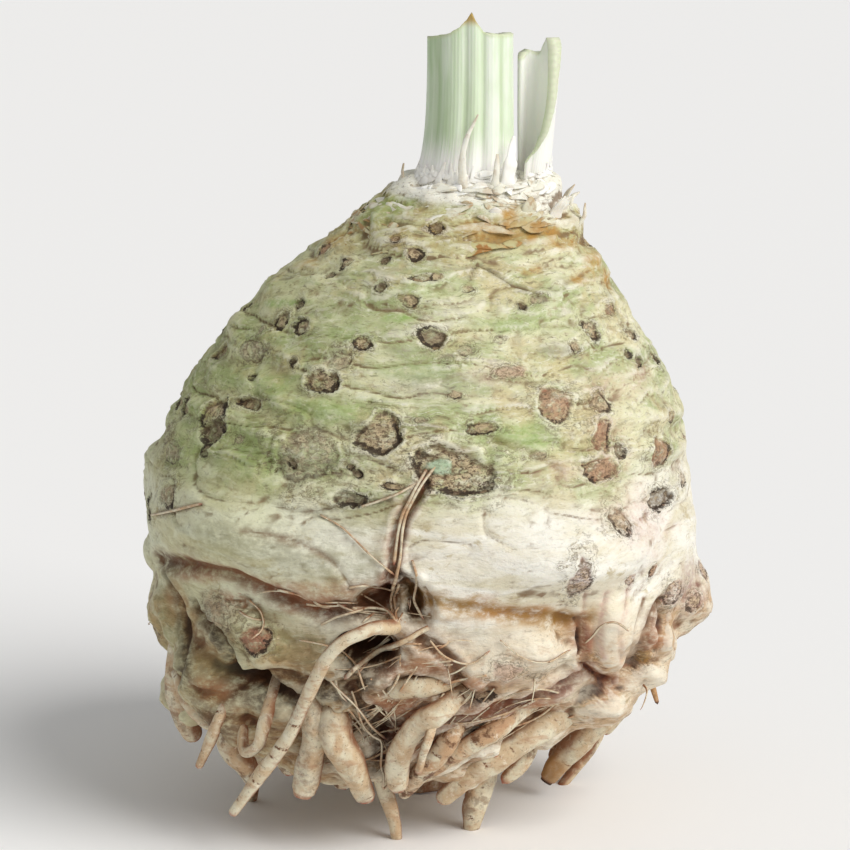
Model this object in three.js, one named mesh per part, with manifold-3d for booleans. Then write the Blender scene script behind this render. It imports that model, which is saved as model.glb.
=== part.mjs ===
// A celeriac root standing on its cut taproot and a few root ends, with cut leaf stalks on its crown.
// Millimetres, +Z up. The fuller, more tangled side faces -Y. Z = 0 is the surface that it stands on.

import * as THREE from "three";
import { mergeVertices } from "three/addons/utils/BufferGeometryUtils.js";
import Module from "manifold-3d";

const wasm = await Module();
wasm.setup();

// Driving dimensions

// The body's outline from below to the crown: [height, half width, centre across].
const PROFILE = [
  [14, 0.5, -5], [17, 20, -5], [22, 35, -4.5], [29, 46, -3], [37, 53, -1.5], [45, 57.5, -0.5],
  [55, 60, 0.5], [65, 61, -0.5], [72, 60.5, -1.2], [80, 59.2, -0.6], [88, 57, 0.6], [96, 53.2, 1.6],
  [104, 48.2, 2.2], [112, 42.8, 2.6], [119, 37.4, 3.8], [123, 33.8, 4.6], [128, 28, 6.6], [131, 25.6, 8],
  [133.5, 24, 8.6], [136.5, 20.4, 9], [139.5, 17.4, 11], [141.5, 15.8, 12.5], [143, 0.5, 12.5],
];
const DEPTH_SHARE = 0.95;
const CROWN_HEIGHT = 141.5;
const CLEARANCE = 0.3;

// The body is seen whole from this point, so every direction from it meets the skin once.
const HEART = [1, 0, 64];
const BODY_AROUND = 56;
const BODY_RISE = 38;
const FURTHEST_SKIN = 84;
const NEAREST_SKIN = 20;
const MARCH_STEP = 1;
const HALVINGS = 8;

// Swollen lobes: [x, y, z, reach x, reach y, reach z, tilt in degrees, blend].
const FRONT_LOBES = [
  [-25.5, -36, 70, 25.5, 20.5, 11.5, -7, 6], // left pale bulge
  [22, -37, 69, 25, 21.5, 11.5, -3, 5], // right pale bulge
  [-35, -29, 49.5, 13.5, 21, 10, -28, 2], // lower left, where a root was cut
  [-45.5, -19, 40, 9, 19, 9.5, -40, 2],
  [-53, -6, 47, 8, 19, 10, 0, 2], // far left
  [-43, -28, 33, 11, 14, 7.5, -25, 2],
  [-52, -14, 27, 6.5, 11, 9, 0, 2], // left corner
  [17, -36, 47.5, 18, 20.5, 10.5, 16, 2.5], // lower right, the largest lobe under the bulges
  [6, -38, 37.5, 13, 14, 6, 10, 1.5],
  [-4, -34, 44, 9, 14, 7, 0, 1.5],
  [39, -28, 53, 7.5, 19, 14, 4, 2], // upright rib
  [48, -16, 49, 6, 19, 13, 8, 2], // upright rib
  [56, -3, 49.5, 7.5, 15, 9, 0, 2], // right knob
  [49, 2, 38, 7, 16, 9, 25, 2],
  [38, -20, 32, 11, 15, 8, 30, 2],
  [-56, 4, 74, 6.5, 12, 7, 0, 3], // bump on the left side
  [-18, -27, 25, 19, 15, 12, -8, 2.5], // knotted mass under the front
  [5, -28, 24, 17, 14, 12, 6, 2.5],
  [24, -20, 27, 14, 13, 9, 20, 2.5],
  [-36, -20, 27, 13, 14, 10, -22, 2.5],
  [-30, -27, 36, 12, 17, 9, -15, 2.5],
];

// Lobes of the sides and back keep to a rule, in rows of [height, reach].
const BACK_LOBE_COUNT = 11;
const BACK_LOBE_FIRST_TURN = 8;
const BACK_LOBE_TURN_STEP = 16.5;
const BACK_LOBE_TURN_SPREAD = 4;
const BACK_LOBE_LEVELS = [[57, 16], [40, 14]];
const BACK_LOBE_HEIGHT_SPREAD = 5;
const BACK_LOBE_REACH_SPREAD = 0.2;
const BACK_LOBE_TALL = { middle: 8.5, spread: 1.5 };
const BACK_LOBE_DEPTH_IN = 11.5;
const BACK_LOBE_BLEND = 2;

// Hollows in the skin: [x, y, z, reach x, reach y, reach z, tilt in degrees].
const HOLLOWS = [
  [6, -60, 88, 9.5, 7.5, 6, 0], // crater of an old side shoot
  [-2, -61, 60, 4.5, 9, 6.5, 20], // foot of the cleft between the bulges
  [-13, -56, 48.5, 8, 11, 5.5, 12], // dark cave under the left bulge
  [-9, -58, 59.5, 6, 8, 4, 10], // its upper end, behind a thin root
  [-42, -47, 46, 4, 6, 12, 38], // fold across the lower left
  [32.5, -52, 49.5, 4, 6, 9, 28], // folds beside the upright ribs
  [52, -32, 50, 4, 6, 10, -12],
];
const HOLLOW_BLEND = 1.5;

// Broad swells of the skin: [height, waves round the body, climb in radians per mm, phase].
const SWELLS = [[0.6, 3, 0.05, 0.7], [0.4, 5, -0.09, 2]];

// Knots all over the underside: height, waves round the body, and waves up it in radians per mm.
const KNOBS = { height: 1.1, around: 11, climb: 0.2, up: 0.45, drift: 3, full: 40, fade: 52 };

// Growth rings round the upper body, and how far they wander: [height, waves round the body, phase].
const RING_SPACING = 8.2;
const RING_HEIGHT = 0.75;
const RING_WANDER = [[2.2, 3, 1], [1.3, 7, 2.5], [0.8, 11, 0.3]];
const RING_DRIFT = { height: 1.2, climb: 0.13 };
const RING_PATCH = { middle: 0.55, spread: 0.45, around: 4, climb: 0.16, phase: 1.7 };
const RING_BELT = { start: 72, full: 86, fade: 134, end: 139 };

// Round scars where side roots were cut, left standing a little proud: [turn in degrees, height, radius].
const EYES = [
  [-101, 94, 4.4], [-57, 99, 3.8], [-88, 113, 2.9], [-150, 92, 4.3], [-61, 65, 3.3], [-44, 74, 2.9], [-27, 75, 3.2],
  [-128, 49, 3.3], [-28, 55, 3.2], [-119, 104, 2.7], [-155, 76, 3.2], [-48, 85, 2.7],
];
const BACK_EYE_COUNT = 13;
const BACK_EYE_TURN_STEP = 77;
const BACK_EYE_TURNS = { from: -5, span: 190 };
const BACK_EYE_HEIGHT = { middle: 86, spread: 30 };
const BACK_EYE_RADIUS = { middle: 3, spread: 1 };
const EYE_SIDES = 7;
const EYE_PROUD = 0.7;
const EYE_SUNK = 3;
const EYE_TOP_SHARE = 0.72;

// Roots: routes of [x, y, z, radius] from inside the body to the tip.
const ROOT_SIDES = 6;
const ROOT_RINGS_PER_POINT = 2;
const FRONT_ROOTS = [
  [[-2, -46, 56, 1.6], [-6, -55, 55, 1.7], [-12, -61, 55.5, 1.4], [-20, -61, 50, 1.4], [-28.5, -54, 31, 1.5],
    [-36, -49, 19, 1.5], [-41.5, -46, 10.5, 1.0]], // long root across the front
  [[-10, -28, 24, 2.2], [-10, -30, 15.5, 1.9], [-7, -31, 5.5, 1.5], [-6, -30, -1, 1.3]], // front foot
  [[-17, -30, 40, 3], [-19, -44, 33, 3.6], [-18.5, -47, 27.5, 3.6], [-15.5, -45, 20.5, 3.1], [-12.5, -41, 12.5, 1.9]],
  [[-21, -32, 42, 2.6], [-23.5, -44, 34.5, 2.7], [-23.5, -45, 27, 2.7], [-25, -42, 19, 3.4], [-26.5, -40, 13.5, 2.5]],
  [[-28, -20, 30, 2.8], [-30.5, -30, 20.5, 2.8], [-29, -30, 15, 2.1]],
  [[-44, -18, 32, 3.2], [-42.5, -26, 21, 3.2], [-39.5, -26, 15.5, 2.6], [-37, -24, 10, 1.6]],
  [[-31, -38, 40, 1.4], [-34, -48, 32, 1.4], [-35.5, -49, 27, 1.3], [-38.5, -46, 25, 1.2], [-39, -40, 29, 1.2]], // the hook
  [[-40, -32, 38, 1.2], [-43.5, -41, 32, 1.2], [-46, -40, 25.5, 1.2], [-49, -38, 18.5, 0.9]],
  [[-52, -14, 46, 3], [-54, -20, 35.5, 3.2], [-53, -20, 26, 3], [-51, -18, 18.5, 2]], // left corner
  [[-54, -24, 36, 1.7], [-51, -31, 31, 1.7], [-46, -31, 26.5, 1.7], [-40, -26, 30, 1.5]],
  [[-34, -22, 24, 1.6], [-37, -14, 12, 1.4], [-39.5, -2, -1, 1.2]], // low stub at the left
  [[13, -40, 41, 2.4], [4, -50, 35.5, 2.5], [-2, -49, 31, 2.7], [-5.5, -46, 24, 2.7], [-6, -42, 15.5, 2.5]], // bent
  [[41, -20, 37, 3], [29.5, -30, 28.5, 3.2], [18.5, -34, 22, 3.2], [10, -34, 16, 3], [3, -32, 9, 1.9]], // long, right
  [[15, -18, 24, 3.2], [12.5, -23, 11.2, 3], [11, -24, 5.4, 2.6], [10, -23, -1, 1.8]], // front right foot
  [[48, -4, 36, 3.3], [42.5, -4, 22.5, 3.1], [36, -3, 15, 2.9], [31, -1, 9, 3], [27.5, 0, 3.5, 1.8]], // right finger
  [[49, -4, 36, 1.4], [50.5, -8, 29.5, 0.9], [52, -8, 24, 0.5]], // thorn
  [[4, -45, 38, 1], [1, -52, 30, 1], [-0.5, -51.5, 25.5, 0.9], [-1.5, -50, 21, 0.8]],
  [[-20, -20, 28, 2.8], [-19.5, -26, 15.5, 2.6], [-17.5, -26, 10, 1.7]],
  [[-13, -40, 37, 2.1], [-5.5, -50, 40, 2.5], [2, -50, 41, 2.3], [11, -42, 43, 1.9]], // bridge below the cleft
  [[24, -20, 26, 2.2], [22, -27, 18, 2], [17, -28, 12, 1.4]],
  [[8, -36, 34, 2.6], [5, -43, 26.5, 2.5], [-1, -40, 18, 2.1], [-5, -34, 11, 1.2]], // under the bent root
  [[26, -32, 34, 2], [15, -41, 28, 2.2], [5, -40, 21.5, 2], [-1, -35, 15, 1.2]],
];
const TAPROOT = [[-3, 6, 26, 13], [-1, 9, 10, 9.5], [0, 10, -2, 8.5]];
const TAPROOT_SIDES = 14;
const TAPROOT_RINGS = 4;

// Roots of the sides and back, which keep to a rule. Every fifth one reaches the floor.
const BACK_ROOT_COUNT = 20;
const BACK_ROOT_FIRST_TURN = 0;
const BACK_ROOT_TURN_STEP = 9.4;
const BACK_ROOT_TURN_SPREAD = 3;
const BACK_ROOT_FOOT_EVERY = 5;
const BACK_ROOT_START = { middle: 30, spread: 5 };
const BACK_ROOT_LENGTH = { middle: 20, spread: 5 };
const BACK_ROOT_RADIUS = { middle: 2.3, spread: 0.8 };
const BACK_ROOT_OUT_SHARE = { middle: 0.66, spread: 0.16 };
const BACK_ROOT_BULGE = 8;
const BACK_ROOT_SWAY = 8;
const BACK_ROOT_FOOT_IN = -0.25;
const BACK_ROOT_ROUTE = [[0, 0, 1], [0.3, 1, 1], [0.65, 0.8, 0.85], [1, 0.3, 0.5]]; // shares: way, bulge, radius
const LOWEST_LOOSE_TIP = 5;

// Torn scales in a ring round the crown, then slivers as routes of [x, y, z, radius].
const CROWN_CENTRE = [12.5, 0.5];
const SCALE_SIDES = 5;
const SCALE_THICKNESS_SHARE = 0.34;
const SCALE_COUNT = 17;
const SCALE_TURN_SPREAD = 8;
const SCALE_RADIUS = { middle: 20, spread: 1.2 };
const SCALE_LENGTH = { middle: 3, spread: 1.2 };
const SCALE_LEAN = { middle: 1.6, spread: 0.8 };
const SCALE_WIDTH = { middle: 2.8, spread: 0.8 };
const SCALE_TIP_WIDTH = 0.6;
const SCALE_SUNK = 3;
const SCALE_FOOT_IN = 1;
const SCALE_RINGS = 3;
const SLIVER_RINGS = 4;
const SLIVER_THICKNESS_SHARE = 0.5;
const SLIVERS = [
  [[8.4, -13.4, 138, 1.5], [8, -14, 147, 1.2], [11, -13.2, 156.5, 0.5]],
  [[14.6, -13.4, 138, 1.4], [15.2, -14, 143, 1.2], [15.6, -14, 148, 0.6]],
];

// Cut leaf stalks. Each is a channel: its middle line in plan, [x, y], runs from one edge to the other.
const STALK_STEPS_ACROSS = 12;
const STALK_STEPS_UP = 6;
// A stalk's foot is its top scaled by a share about a point in plan, and the power says how near the foot that starts.
const STALKS = {
  stalk_front: {
    middle: [[2.2, 2.5], [2.4, -4], [5.6, -8.2], [10, -9.4], [14.4, -8.4], [17.6, -4.2], [17.8, 2.5]],
    tops: [171.5, 172.5, 173, 173.5, 174, 175.5, 178.5, 174.5, 174, 173.8, 173.6, 173.5, 172.5],
    thickness: [1.6, 3.2, 4, 4.2, 4, 3.2, 1.6],
    foot: { scale: 1.2, about: [16, -8], power: 4 },
    ribs: 6,
    ribHeight: 0.3,
    colour: 0xc9d9b0,
  },
  stalk_right: {
    middle: [[21.8, -7.2], [25.2, -5.6], [27.6, -2.6], [28.2, 1.4], [27.2, 5.2], [25, 7], [22, 6.2], [20.8, 3.6]],
    tops: [146, 148.5, 152, 157, 163, 169, 172, 170, 168.5, 168.5, 169, 168.5, 167.5],
    thickness: [1.4, 2, 2.4, 2.8, 3, 3, 2.6, 1.5],
    foot: { scale: 0.74, about: [20.4, 0], power: 1 },
    ribs: 5,
    ribHeight: 0.25,
    colour: 0xdfe6cf,
  },
  stalk_back: {
    middle: [[17.2, 7], [14.6, 10.8], [9.6, 12.2], [4.6, 10], [3.2, 6.4]],
    tops: [158, 162, 163, 161, 158],
    thickness: [1.5, 2.8, 3.4, 2.8, 1.5],
    foot: { scale: 1.1, about: [10, 9], power: 3 },
    ribs: 5,
    ribHeight: 0.3,
    colour: 0xc4d4ab,
  },
};

// Young leaf base in the middle of the stalks: a bent, pointed shoot.
const HEART_SHOOT = [[10, 1.5, 0, 3.2], [10, 1.5, 9, 2.8], [10.6, 1.8, 17, 1.9], [11.4, 2, 23, 0.8]];
const HEART_SHOOT_SIDES = 10;
const HEART_SHOOT_RINGS = 6;

const PROFILE_SAMPLES_PER_POINT = 20;
const TUBE_FACING = new THREE.Vector3(0.3, 1, 0.2);
const SLAB_DEPTH = 20;
const SKIN_COLOUR = 0xd6d3b4;
const SHOOT_COLOUR = 0xe2e8c4;
const SKIN_ROUGHNESS = 0.75;
const STALK_ROUGHNESS = 0.45;

// Small maths

const radians = THREE.MathUtils.degToRad;

function clamp01(value) {
  return THREE.MathUtils.clamp(value, 0, 1);
}

// A fixed scatter between -1 and 1 for an index and a channel.
function scatter(index, channel) {
  const wave = Math.sin(index * 12.9898 + channel * 78.233) * 43758.5453;
  return (wave - Math.floor(wave)) * 2 - 1;
}

// A size that varies by a fixed scatter about its middle.
function varied({ middle, spread }, index, channel) {
  return middle + spread * scatter(index, channel);
}

// The smaller of two distances, rounded where they cross.
function smoothJoin(first, second, blend) {
  const share = Math.max(blend - Math.abs(first - second), 0) / blend;
  return Math.min(first, second) - (share * share * blend) / 4;
}

// Linear reading of a row of numbers at a share from 0 to 1.
function readAlong(row, share) {
  const place = clamp01(share) * (row.length - 1);
  const index = Math.min(Math.floor(place), row.length - 2);
  return THREE.MathUtils.lerp(row[index], row[index + 1], place - index);
}

// The body's skin

const profileCurve = new THREE.CatmullRomCurve3(
  PROFILE.map(([height, half, across]) => new THREE.Vector3(across, half, height)), false, "catmullrom", 0.5,
).getPoints(PROFILE.length * PROFILE_SAMPLES_PER_POINT);

function profileAt(height) {
  let low = 0;
  let high = profileCurve.length - 1;
  while (high - low > 1) {
    const middle = Math.floor((low + high) / 2);
    if (profileCurve[middle].z > height) high = middle;
    else low = middle;
  }
  const share = clamp01((height - profileCurve[low].z) / (profileCurve[high].z - profileCurve[low].z));
  return {
    half: THREE.MathUtils.lerp(profileCurve[low].y, profileCurve[high].y, share),
    across: THREE.MathUtils.lerp(profileCurve[low].x, profileCurve[high].x, share),
  };
}

function plainBodyDistance(x, y, z) {
  const { half, across } = profileAt(z);
  const side = Math.hypot(x - across, y / DEPTH_SHARE) - half;
  return Math.max(side, PROFILE[0][0] - z, z - PROFILE[PROFILE.length - 1][0]);
}

function ellipsoidDistance(x, y, z, [cx, cy, cz, reachX, reachY, reachZ, tilt]) {
  const across = (x - cx) * Math.cos(radians(tilt)) + (z - cz) * Math.sin(radians(tilt));
  const rise = (z - cz) * Math.cos(radians(tilt)) - (x - cx) * Math.sin(radians(tilt));
  const share = Math.hypot(across / reachX, (y - cy) / reachY, rise / reachZ);
  return (share - 1) * Math.min(reachX, reachY, reachZ);
}

function backLobes() {
  const lobes = [];
  for (let index = 0; index < BACK_LOBE_COUNT; index += 1) {
    const turnDegrees = BACK_LOBE_FIRST_TURN + BACK_LOBE_TURN_STEP * index;
    const turn = radians(turnDegrees + BACK_LOBE_TURN_SPREAD * scatter(index, 1));
    BACK_LOBE_LEVELS.forEach(([level, reach], row) => {
      const height = level + BACK_LOBE_HEIGHT_SPREAD * scatter(index, 2 + row);
      const width = reach * (1 + BACK_LOBE_REACH_SPREAD * scatter(index, 4 + row));
      const out = profileAt(height).half - BACK_LOBE_DEPTH_IN;
      const tall = varied(BACK_LOBE_TALL, index, 6 + row);
      const [x, y] = [Math.cos(turn) * out, Math.sin(turn) * out * DEPTH_SHARE];
      lobes.push([x, y, height, width, width, tall, 0, BACK_LOBE_BLEND]);
    });
  }
  return lobes;
}

const LOBES = [...FRONT_LOBES, ...backLobes()];

function skinRelief(x, y, z) {
  const turn = Math.atan2(y, x);
  let relief = 0;
  for (const [height, waves, climb, phase] of SWELLS) relief += height * Math.sin(waves * turn + climb * z + phase);
  let wander = RING_DRIFT.height * Math.sin(z * RING_DRIFT.climb);
  for (const [height, waves, phase] of RING_WANDER) wander += height * Math.sin(waves * turn + phase);
  const belt = clamp01((z - RING_BELT.start) / (RING_BELT.full - RING_BELT.start))
    * clamp01((RING_BELT.end - z) / (RING_BELT.end - RING_BELT.fade));
  const patch = RING_PATCH.middle
    + RING_PATCH.spread * Math.sin(RING_PATCH.around * turn + z * RING_PATCH.climb + RING_PATCH.phase);
  relief += RING_HEIGHT * belt * patch * Math.sin(((z + wander) * 2 * Math.PI) / RING_SPACING);
  const under = clamp01((KNOBS.fade - z) / (KNOBS.fade - KNOBS.full));
  return relief + KNOBS.height * under
    * Math.sin(KNOBS.around * turn + KNOBS.climb * z) * Math.sin(KNOBS.up * z + KNOBS.drift * turn);
}

function skinDistance(x, y, z) {
  let distance = plainBodyDistance(x, y, z);
  for (const lobe of LOBES) distance = smoothJoin(distance, ellipsoidDistance(x, y, z, lobe), lobe[7]);
  for (const hollow of HOLLOWS) distance = -smoothJoin(-distance, ellipsoidDistance(x, y, z, hollow), HOLLOW_BLEND);
  return distance - skinRelief(x, y, z);
}

// How far the skin is from the heart along one direction.
function skinReach(direction) {
  const inside = (reach) => skinDistance(
    HEART[0] + direction.x * reach, HEART[1] + direction.y * reach, HEART[2] + direction.z * reach,
  ) < 0;
  let outer = FURTHEST_SKIN;
  while (outer > NEAREST_SKIN && !inside(outer)) outer -= MARCH_STEP;
  let inner = outer;
  outer += MARCH_STEP;
  for (let halving = 0; halving < HALVINGS; halving += 1) {
    const middle = (inner + outer) / 2;
    if (inside(middle)) inner = middle;
    else outer = middle;
  }
  return (inner + outer) / 2;
}

function bodyGeometry() {
  const geometry = new THREE.SphereGeometry(1, BODY_AROUND, BODY_RISE).rotateX(Math.PI / 2);
  const places = geometry.attributes.position;
  const point = new THREE.Vector3();
  for (let index = 0; index < places.count; index += 1) {
    point.fromBufferAttribute(places, index).normalize();
    const reach = skinReach(point);
    places.setXYZ(index, HEART[0] + point.x * reach, HEART[1] + point.y * reach, HEART[2] + point.z * reach);
  }
  return geometry;
}

// Roots, scales and shoots

// A capped tube that follows [x, y, z, radius] points. A flat one is thin across its outward direction.
function taperedTube(points, sides, rings, flatness = 1, outward = TUBE_FACING) {
  const curve = new THREE.CatmullRomCurve3(points.map(([x, y, z]) => new THREE.Vector3(x, y, z)));
  const radii = points.map((point) => point[3]);
  const geometry = new THREE.CylinderGeometry(1, 1, 1, sides, rings);
  const places = geometry.attributes.position;
  const across = new THREE.Vector3();
  const through = new THREE.Vector3();
  for (let index = 0; index < places.count; index += 1) {
    const share = places.getY(index) + 0.5;
    const centre = curve.getPoint(share);
    const along = curve.getTangent(share);
    across.crossVectors(along, outward).normalize();
    through.crossVectors(across, along).normalize();
    const radius = readAlong(radii, share);
    centre.addScaledVector(across, places.getX(index) * radius);
    centre.addScaledVector(through, places.getZ(index) * radius * flatness);
    places.setXYZ(index, centre.x, centre.y, centre.z);
  }
  return geometry;
}

function rootGeometry(points) {
  return taperedTube(points, ROOT_SIDES, (points.length - 1) * ROOT_RINGS_PER_POINT);
}

function backRootGeometry(index) {
  const turnDegrees = BACK_ROOT_FIRST_TURN + BACK_ROOT_TURN_STEP * index;
  const turn = radians(turnDegrees + BACK_ROOT_TURN_SPREAD * scatter(index, 8));
  const outward = new THREE.Vector3(Math.cos(turn), Math.sin(turn), 0);
  const sideways = new THREE.Vector3(-outward.y, outward.x, 0);
  const reachesFloor = index % BACK_ROOT_FOOT_EVERY === 2;
  const sway = BACK_ROOT_SWAY * scatter(index, 9);
  const startHeight = varied(BACK_ROOT_START, index, 16);
  const drop = varied(BACK_ROOT_LENGTH, index, 17);
  const radius = varied(BACK_ROOT_RADIUS, index, 18);
  const outShare = varied(BACK_ROOT_OUT_SHARE, index, 19);
  const { half, across } = profileAt(startHeight);
  const endHeight = reachesFloor ? -1 : Math.max(startHeight - drop, LOWEST_LOOSE_TIP);
  return rootGeometry(BACK_ROOT_ROUTE.map(([share, bulgeShare, radiusShare]) => {
    const bulge = BACK_ROOT_BULGE * (reachesFloor && share === 1 ? BACK_ROOT_FOOT_IN : bulgeShare);
    const point = outward.clone().multiplyScalar(half * outShare + bulge).addScaledVector(sideways, sway * share);
    const height = THREE.MathUtils.lerp(startHeight, endHeight, share);
    return [point.x + across, point.y * DEPTH_SHARE, height, radius * radiusShare];
  }));
}

function eyeGeometry([turnDegrees, height, radius]) {
  const turn = radians(turnDegrees);
  const { half, across } = profileAt(height);
  const heart = new THREE.Vector3(...HEART);
  const skin = new THREE.Vector3(across + Math.cos(turn) * half, Math.sin(turn) * half * DEPTH_SHARE, height);
  const direction = skin.sub(heart).normalize();
  const reach = skinReach(direction);
  const place = (out) => heart.clone().addScaledVector(direction, reach + out).toArray();
  const points = [[...place(-EYE_SUNK), radius], [...place(EYE_PROUD), radius * EYE_TOP_SHARE]];
  return taperedTube(points, EYE_SIDES, 1, 1, new THREE.Vector3(0, 0, 1));
}

// Scars of the sides and back, spread by a fixed step so that they never line up.
function backEyes() {
  const eyes = [];
  for (let index = 0; index < BACK_EYE_COUNT; index += 1) {
    const turn = BACK_EYE_TURNS.from + ((index * BACK_EYE_TURN_STEP) % BACK_EYE_TURNS.span);
    eyes.push([turn, varied(BACK_EYE_HEIGHT, index, 20), varied(BACK_EYE_RADIUS, index, 21)]);
  }
  return eyes;
}

function crownScaleGeometry(index) {
  const turn = radians((360 / SCALE_COUNT) * index + SCALE_TURN_SPREAD * scatter(index, 11));
  const outward = new THREE.Vector3(Math.cos(turn), Math.sin(turn), 0);
  const out = varied(SCALE_RADIUS, index, 12);
  const length = varied(SCALE_LENGTH, index, 13);
  const lean = varied(SCALE_LEAN, index, 14);
  const width = varied(SCALE_WIDTH, index, 15);
  const foot = profileFoot(out);
  const place = (push, rise) => [
    CROWN_CENTRE[0] + outward.x * (out + push), CROWN_CENTRE[1] + outward.y * (out + push) * DEPTH_SHARE, foot + rise,
  ];
  return taperedTube(
    [[...place(-SCALE_FOOT_IN, -SCALE_SUNK), width], [...place(0, 0), width], [...place(lean, length), SCALE_TIP_WIDTH]],
    SCALE_SIDES, SCALE_RINGS, SCALE_THICKNESS_SHARE, outward,
  );
}

// The height at which the crown's slope is a given distance out from its middle.
function profileFoot(out) {
  const row = profileCurve.findLast((point) => point.y >= out);
  return Math.min(row.z, CROWN_HEIGHT);
}

// Cut leaf stalks

function stalkGeometry({ middle, tops, thickness, foot: { scale, about, power }, ribs, ribHeight }) {
  const curve = new THREE.CatmullRomCurve3(middle.map(([x, y]) => new THREE.Vector3(x, y, 0)));
  const still = new THREE.Vector3(...about, 0);
  const geometry = new THREE.BoxGeometry(1, 1, 1, STALK_STEPS_ACROSS, STALK_STEPS_UP, 1);
  const places = geometry.attributes.position;
  const up = new THREE.Vector3(0, 0, 1);
  const lowest = CROWN_HEIGHT + CLEARANCE;
  for (let index = 0; index < places.count; index += 1) {
    const share = places.getX(index) + 0.5;
    const rise = places.getY(index) + 0.5;
    const side = Math.sign(places.getZ(index));
    const point = curve.getPoint(share);
    const outward = new THREE.Vector3().crossVectors(curve.getTangent(share), up);
    const rib = side > 0 ? ribHeight * Math.cos(2 * Math.PI * ribs * share) : 0;
    point.addScaledVector(outward, (side * readAlong(thickness, share)) / 2 + rib);
    point.sub(still).multiplyScalar(1 + (scale - 1) * (1 - rise) ** power).add(still);
    places.setXYZ(index, point.x, point.y, THREE.MathUtils.lerp(lowest, readAlong(tops, share), rise));
  }
  return geometry;
}

function heartShootGeometry() {
  const foot = CROWN_HEIGHT + CLEARANCE;
  const points = HEART_SHOOT.map(([x, y, rise, radius]) => [x, y, foot + rise, radius]);
  return taperedTube(points, HEART_SHOOT_SIDES, HEART_SHOOT_RINGS);
}

// Solids

function solidFrom(geometry) {
  const bare = geometry.clone();
  bare.deleteAttribute("normal");
  bare.deleteAttribute("uv");
  const merged = mergeVertices(bare);
  return new wasm.Manifold(new wasm.Mesh({
    numProp: 3,
    vertProperties: new Float32Array(merged.attributes.position.array),
    triVerts: new Uint32Array(merged.index.array),
  }));
}

function geometryFrom(solid) {
  const mesh = solid.getMesh();
  const geometry = new THREE.BufferGeometry();
  geometry.setAttribute("position", new THREE.BufferAttribute(mesh.vertProperties, 3));
  geometry.setIndex(new THREE.BufferAttribute(mesh.triVerts, 1));
  geometry.computeVertexNormals();
  return geometry;
}

// A box between two heights, wider than the whole root, that takes away what is past them.
function slab(low, high) {
  const width = 4 * FURTHEST_SKIN;
  return solidFrom(new THREE.BoxGeometry(width, width, high - low).translate(0, 0, (low + high) / 2));
}

function rootBodySolid() {
  const above = slab(CROWN_HEIGHT, CROWN_HEIGHT + SLAB_DEPTH);
  const below = slab(-SLAB_DEPTH, 0);
  let solid = solidFrom(bodyGeometry()).subtract(above);
  const additions = [
    taperedTube(TAPROOT, TAPROOT_SIDES, TAPROOT_RINGS),
    ...FRONT_ROOTS.map(rootGeometry),
    ...[...EYES, ...backEyes()].map(eyeGeometry),
    ...SLIVERS.map((points) => taperedTube(points, SCALE_SIDES, SLIVER_RINGS, SLIVER_THICKNESS_SHARE)),
  ];
  for (let index = 0; index < BACK_ROOT_COUNT; index += 1) additions.push(backRootGeometry(index));
  for (let index = 0; index < SCALE_COUNT; index += 1) additions.push(crownScaleGeometry(index));
  for (const geometry of additions) solid = solid.add(solidFrom(geometry));
  // Hollows that only touch the skin come apart from it once the mesh is rebuilt, so it is sorted twice.
  const sorted = outerShell(solid.subtract(below));
  return outerShell(solidFrom(geometryFrom(sorted)));
}

// The largest piece of a solid, with any hollow sealed inside it filled.
function outerShell(solid) {
  return solid.decompose().reduce((largest, piece) => (piece.volume() > largest.volume() ? piece : largest));
}

function meshFor(name, geometry, color, roughness) {
  const mesh = new THREE.Mesh(geometry, new THREE.MeshStandardMaterial({ color, roughness, metalness: 0 }));
  mesh.name = name;
  return mesh;
}

const celeriac = new THREE.Group();
celeriac.name = "celeriac";
celeriac.add(meshFor("root_body", geometryFrom(rootBodySolid()), SKIN_COLOUR, SKIN_ROUGHNESS));
for (const [name, stalk] of Object.entries(STALKS)) {
  celeriac.add(meshFor(name, geometryFrom(solidFrom(stalkGeometry(stalk))), stalk.colour, STALK_ROUGHNESS));
}
celeriac.add(meshFor("heart_shoot", geometryFrom(solidFrom(heartShootGeometry())), SHOOT_COLOUR, STALK_ROUGHNESS));

export default celeriac;
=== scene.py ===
"""A celeriac root: ringed and scarred body, knotted side roots, torn crown scales and cut leaf stalks."""
import math

import bmesh
import bpy
import numpy as np
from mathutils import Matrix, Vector


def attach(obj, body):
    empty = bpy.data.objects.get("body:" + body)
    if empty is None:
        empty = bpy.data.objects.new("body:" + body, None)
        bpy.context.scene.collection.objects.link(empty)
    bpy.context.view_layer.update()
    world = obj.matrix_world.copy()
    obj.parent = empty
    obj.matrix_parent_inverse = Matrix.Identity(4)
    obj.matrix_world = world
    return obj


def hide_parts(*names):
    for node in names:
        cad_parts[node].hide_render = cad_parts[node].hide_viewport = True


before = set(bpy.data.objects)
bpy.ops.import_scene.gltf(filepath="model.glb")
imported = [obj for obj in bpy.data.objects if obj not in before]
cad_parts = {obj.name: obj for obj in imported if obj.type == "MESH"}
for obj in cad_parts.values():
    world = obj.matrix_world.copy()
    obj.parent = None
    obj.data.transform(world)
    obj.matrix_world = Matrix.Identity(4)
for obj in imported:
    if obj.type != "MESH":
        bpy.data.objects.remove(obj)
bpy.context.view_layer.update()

# The photograph's frame and the camera that looks into it, in millimetres and degrees.
PICTURE_SIDE = 850
PICTURE_MIDDLE = PICTURE_SIDE / 2
SENSOR_WIDTH = 36.0
CAMERA_DISTANCE = 800.0
CAMERA_RISE = 12.0
CAMERA_TARGET = np.array([0.0, 0.0, 86.1])
PIXELS_PER_MM = 4.5
TO_METRES = 0.001
NEAR_SKIN = 690.0
FAR_SKIN = 860.0
BODY_PIXEL = np.array([425.0, 480.0])
PULL_TO_BODY = 0.02

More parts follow.
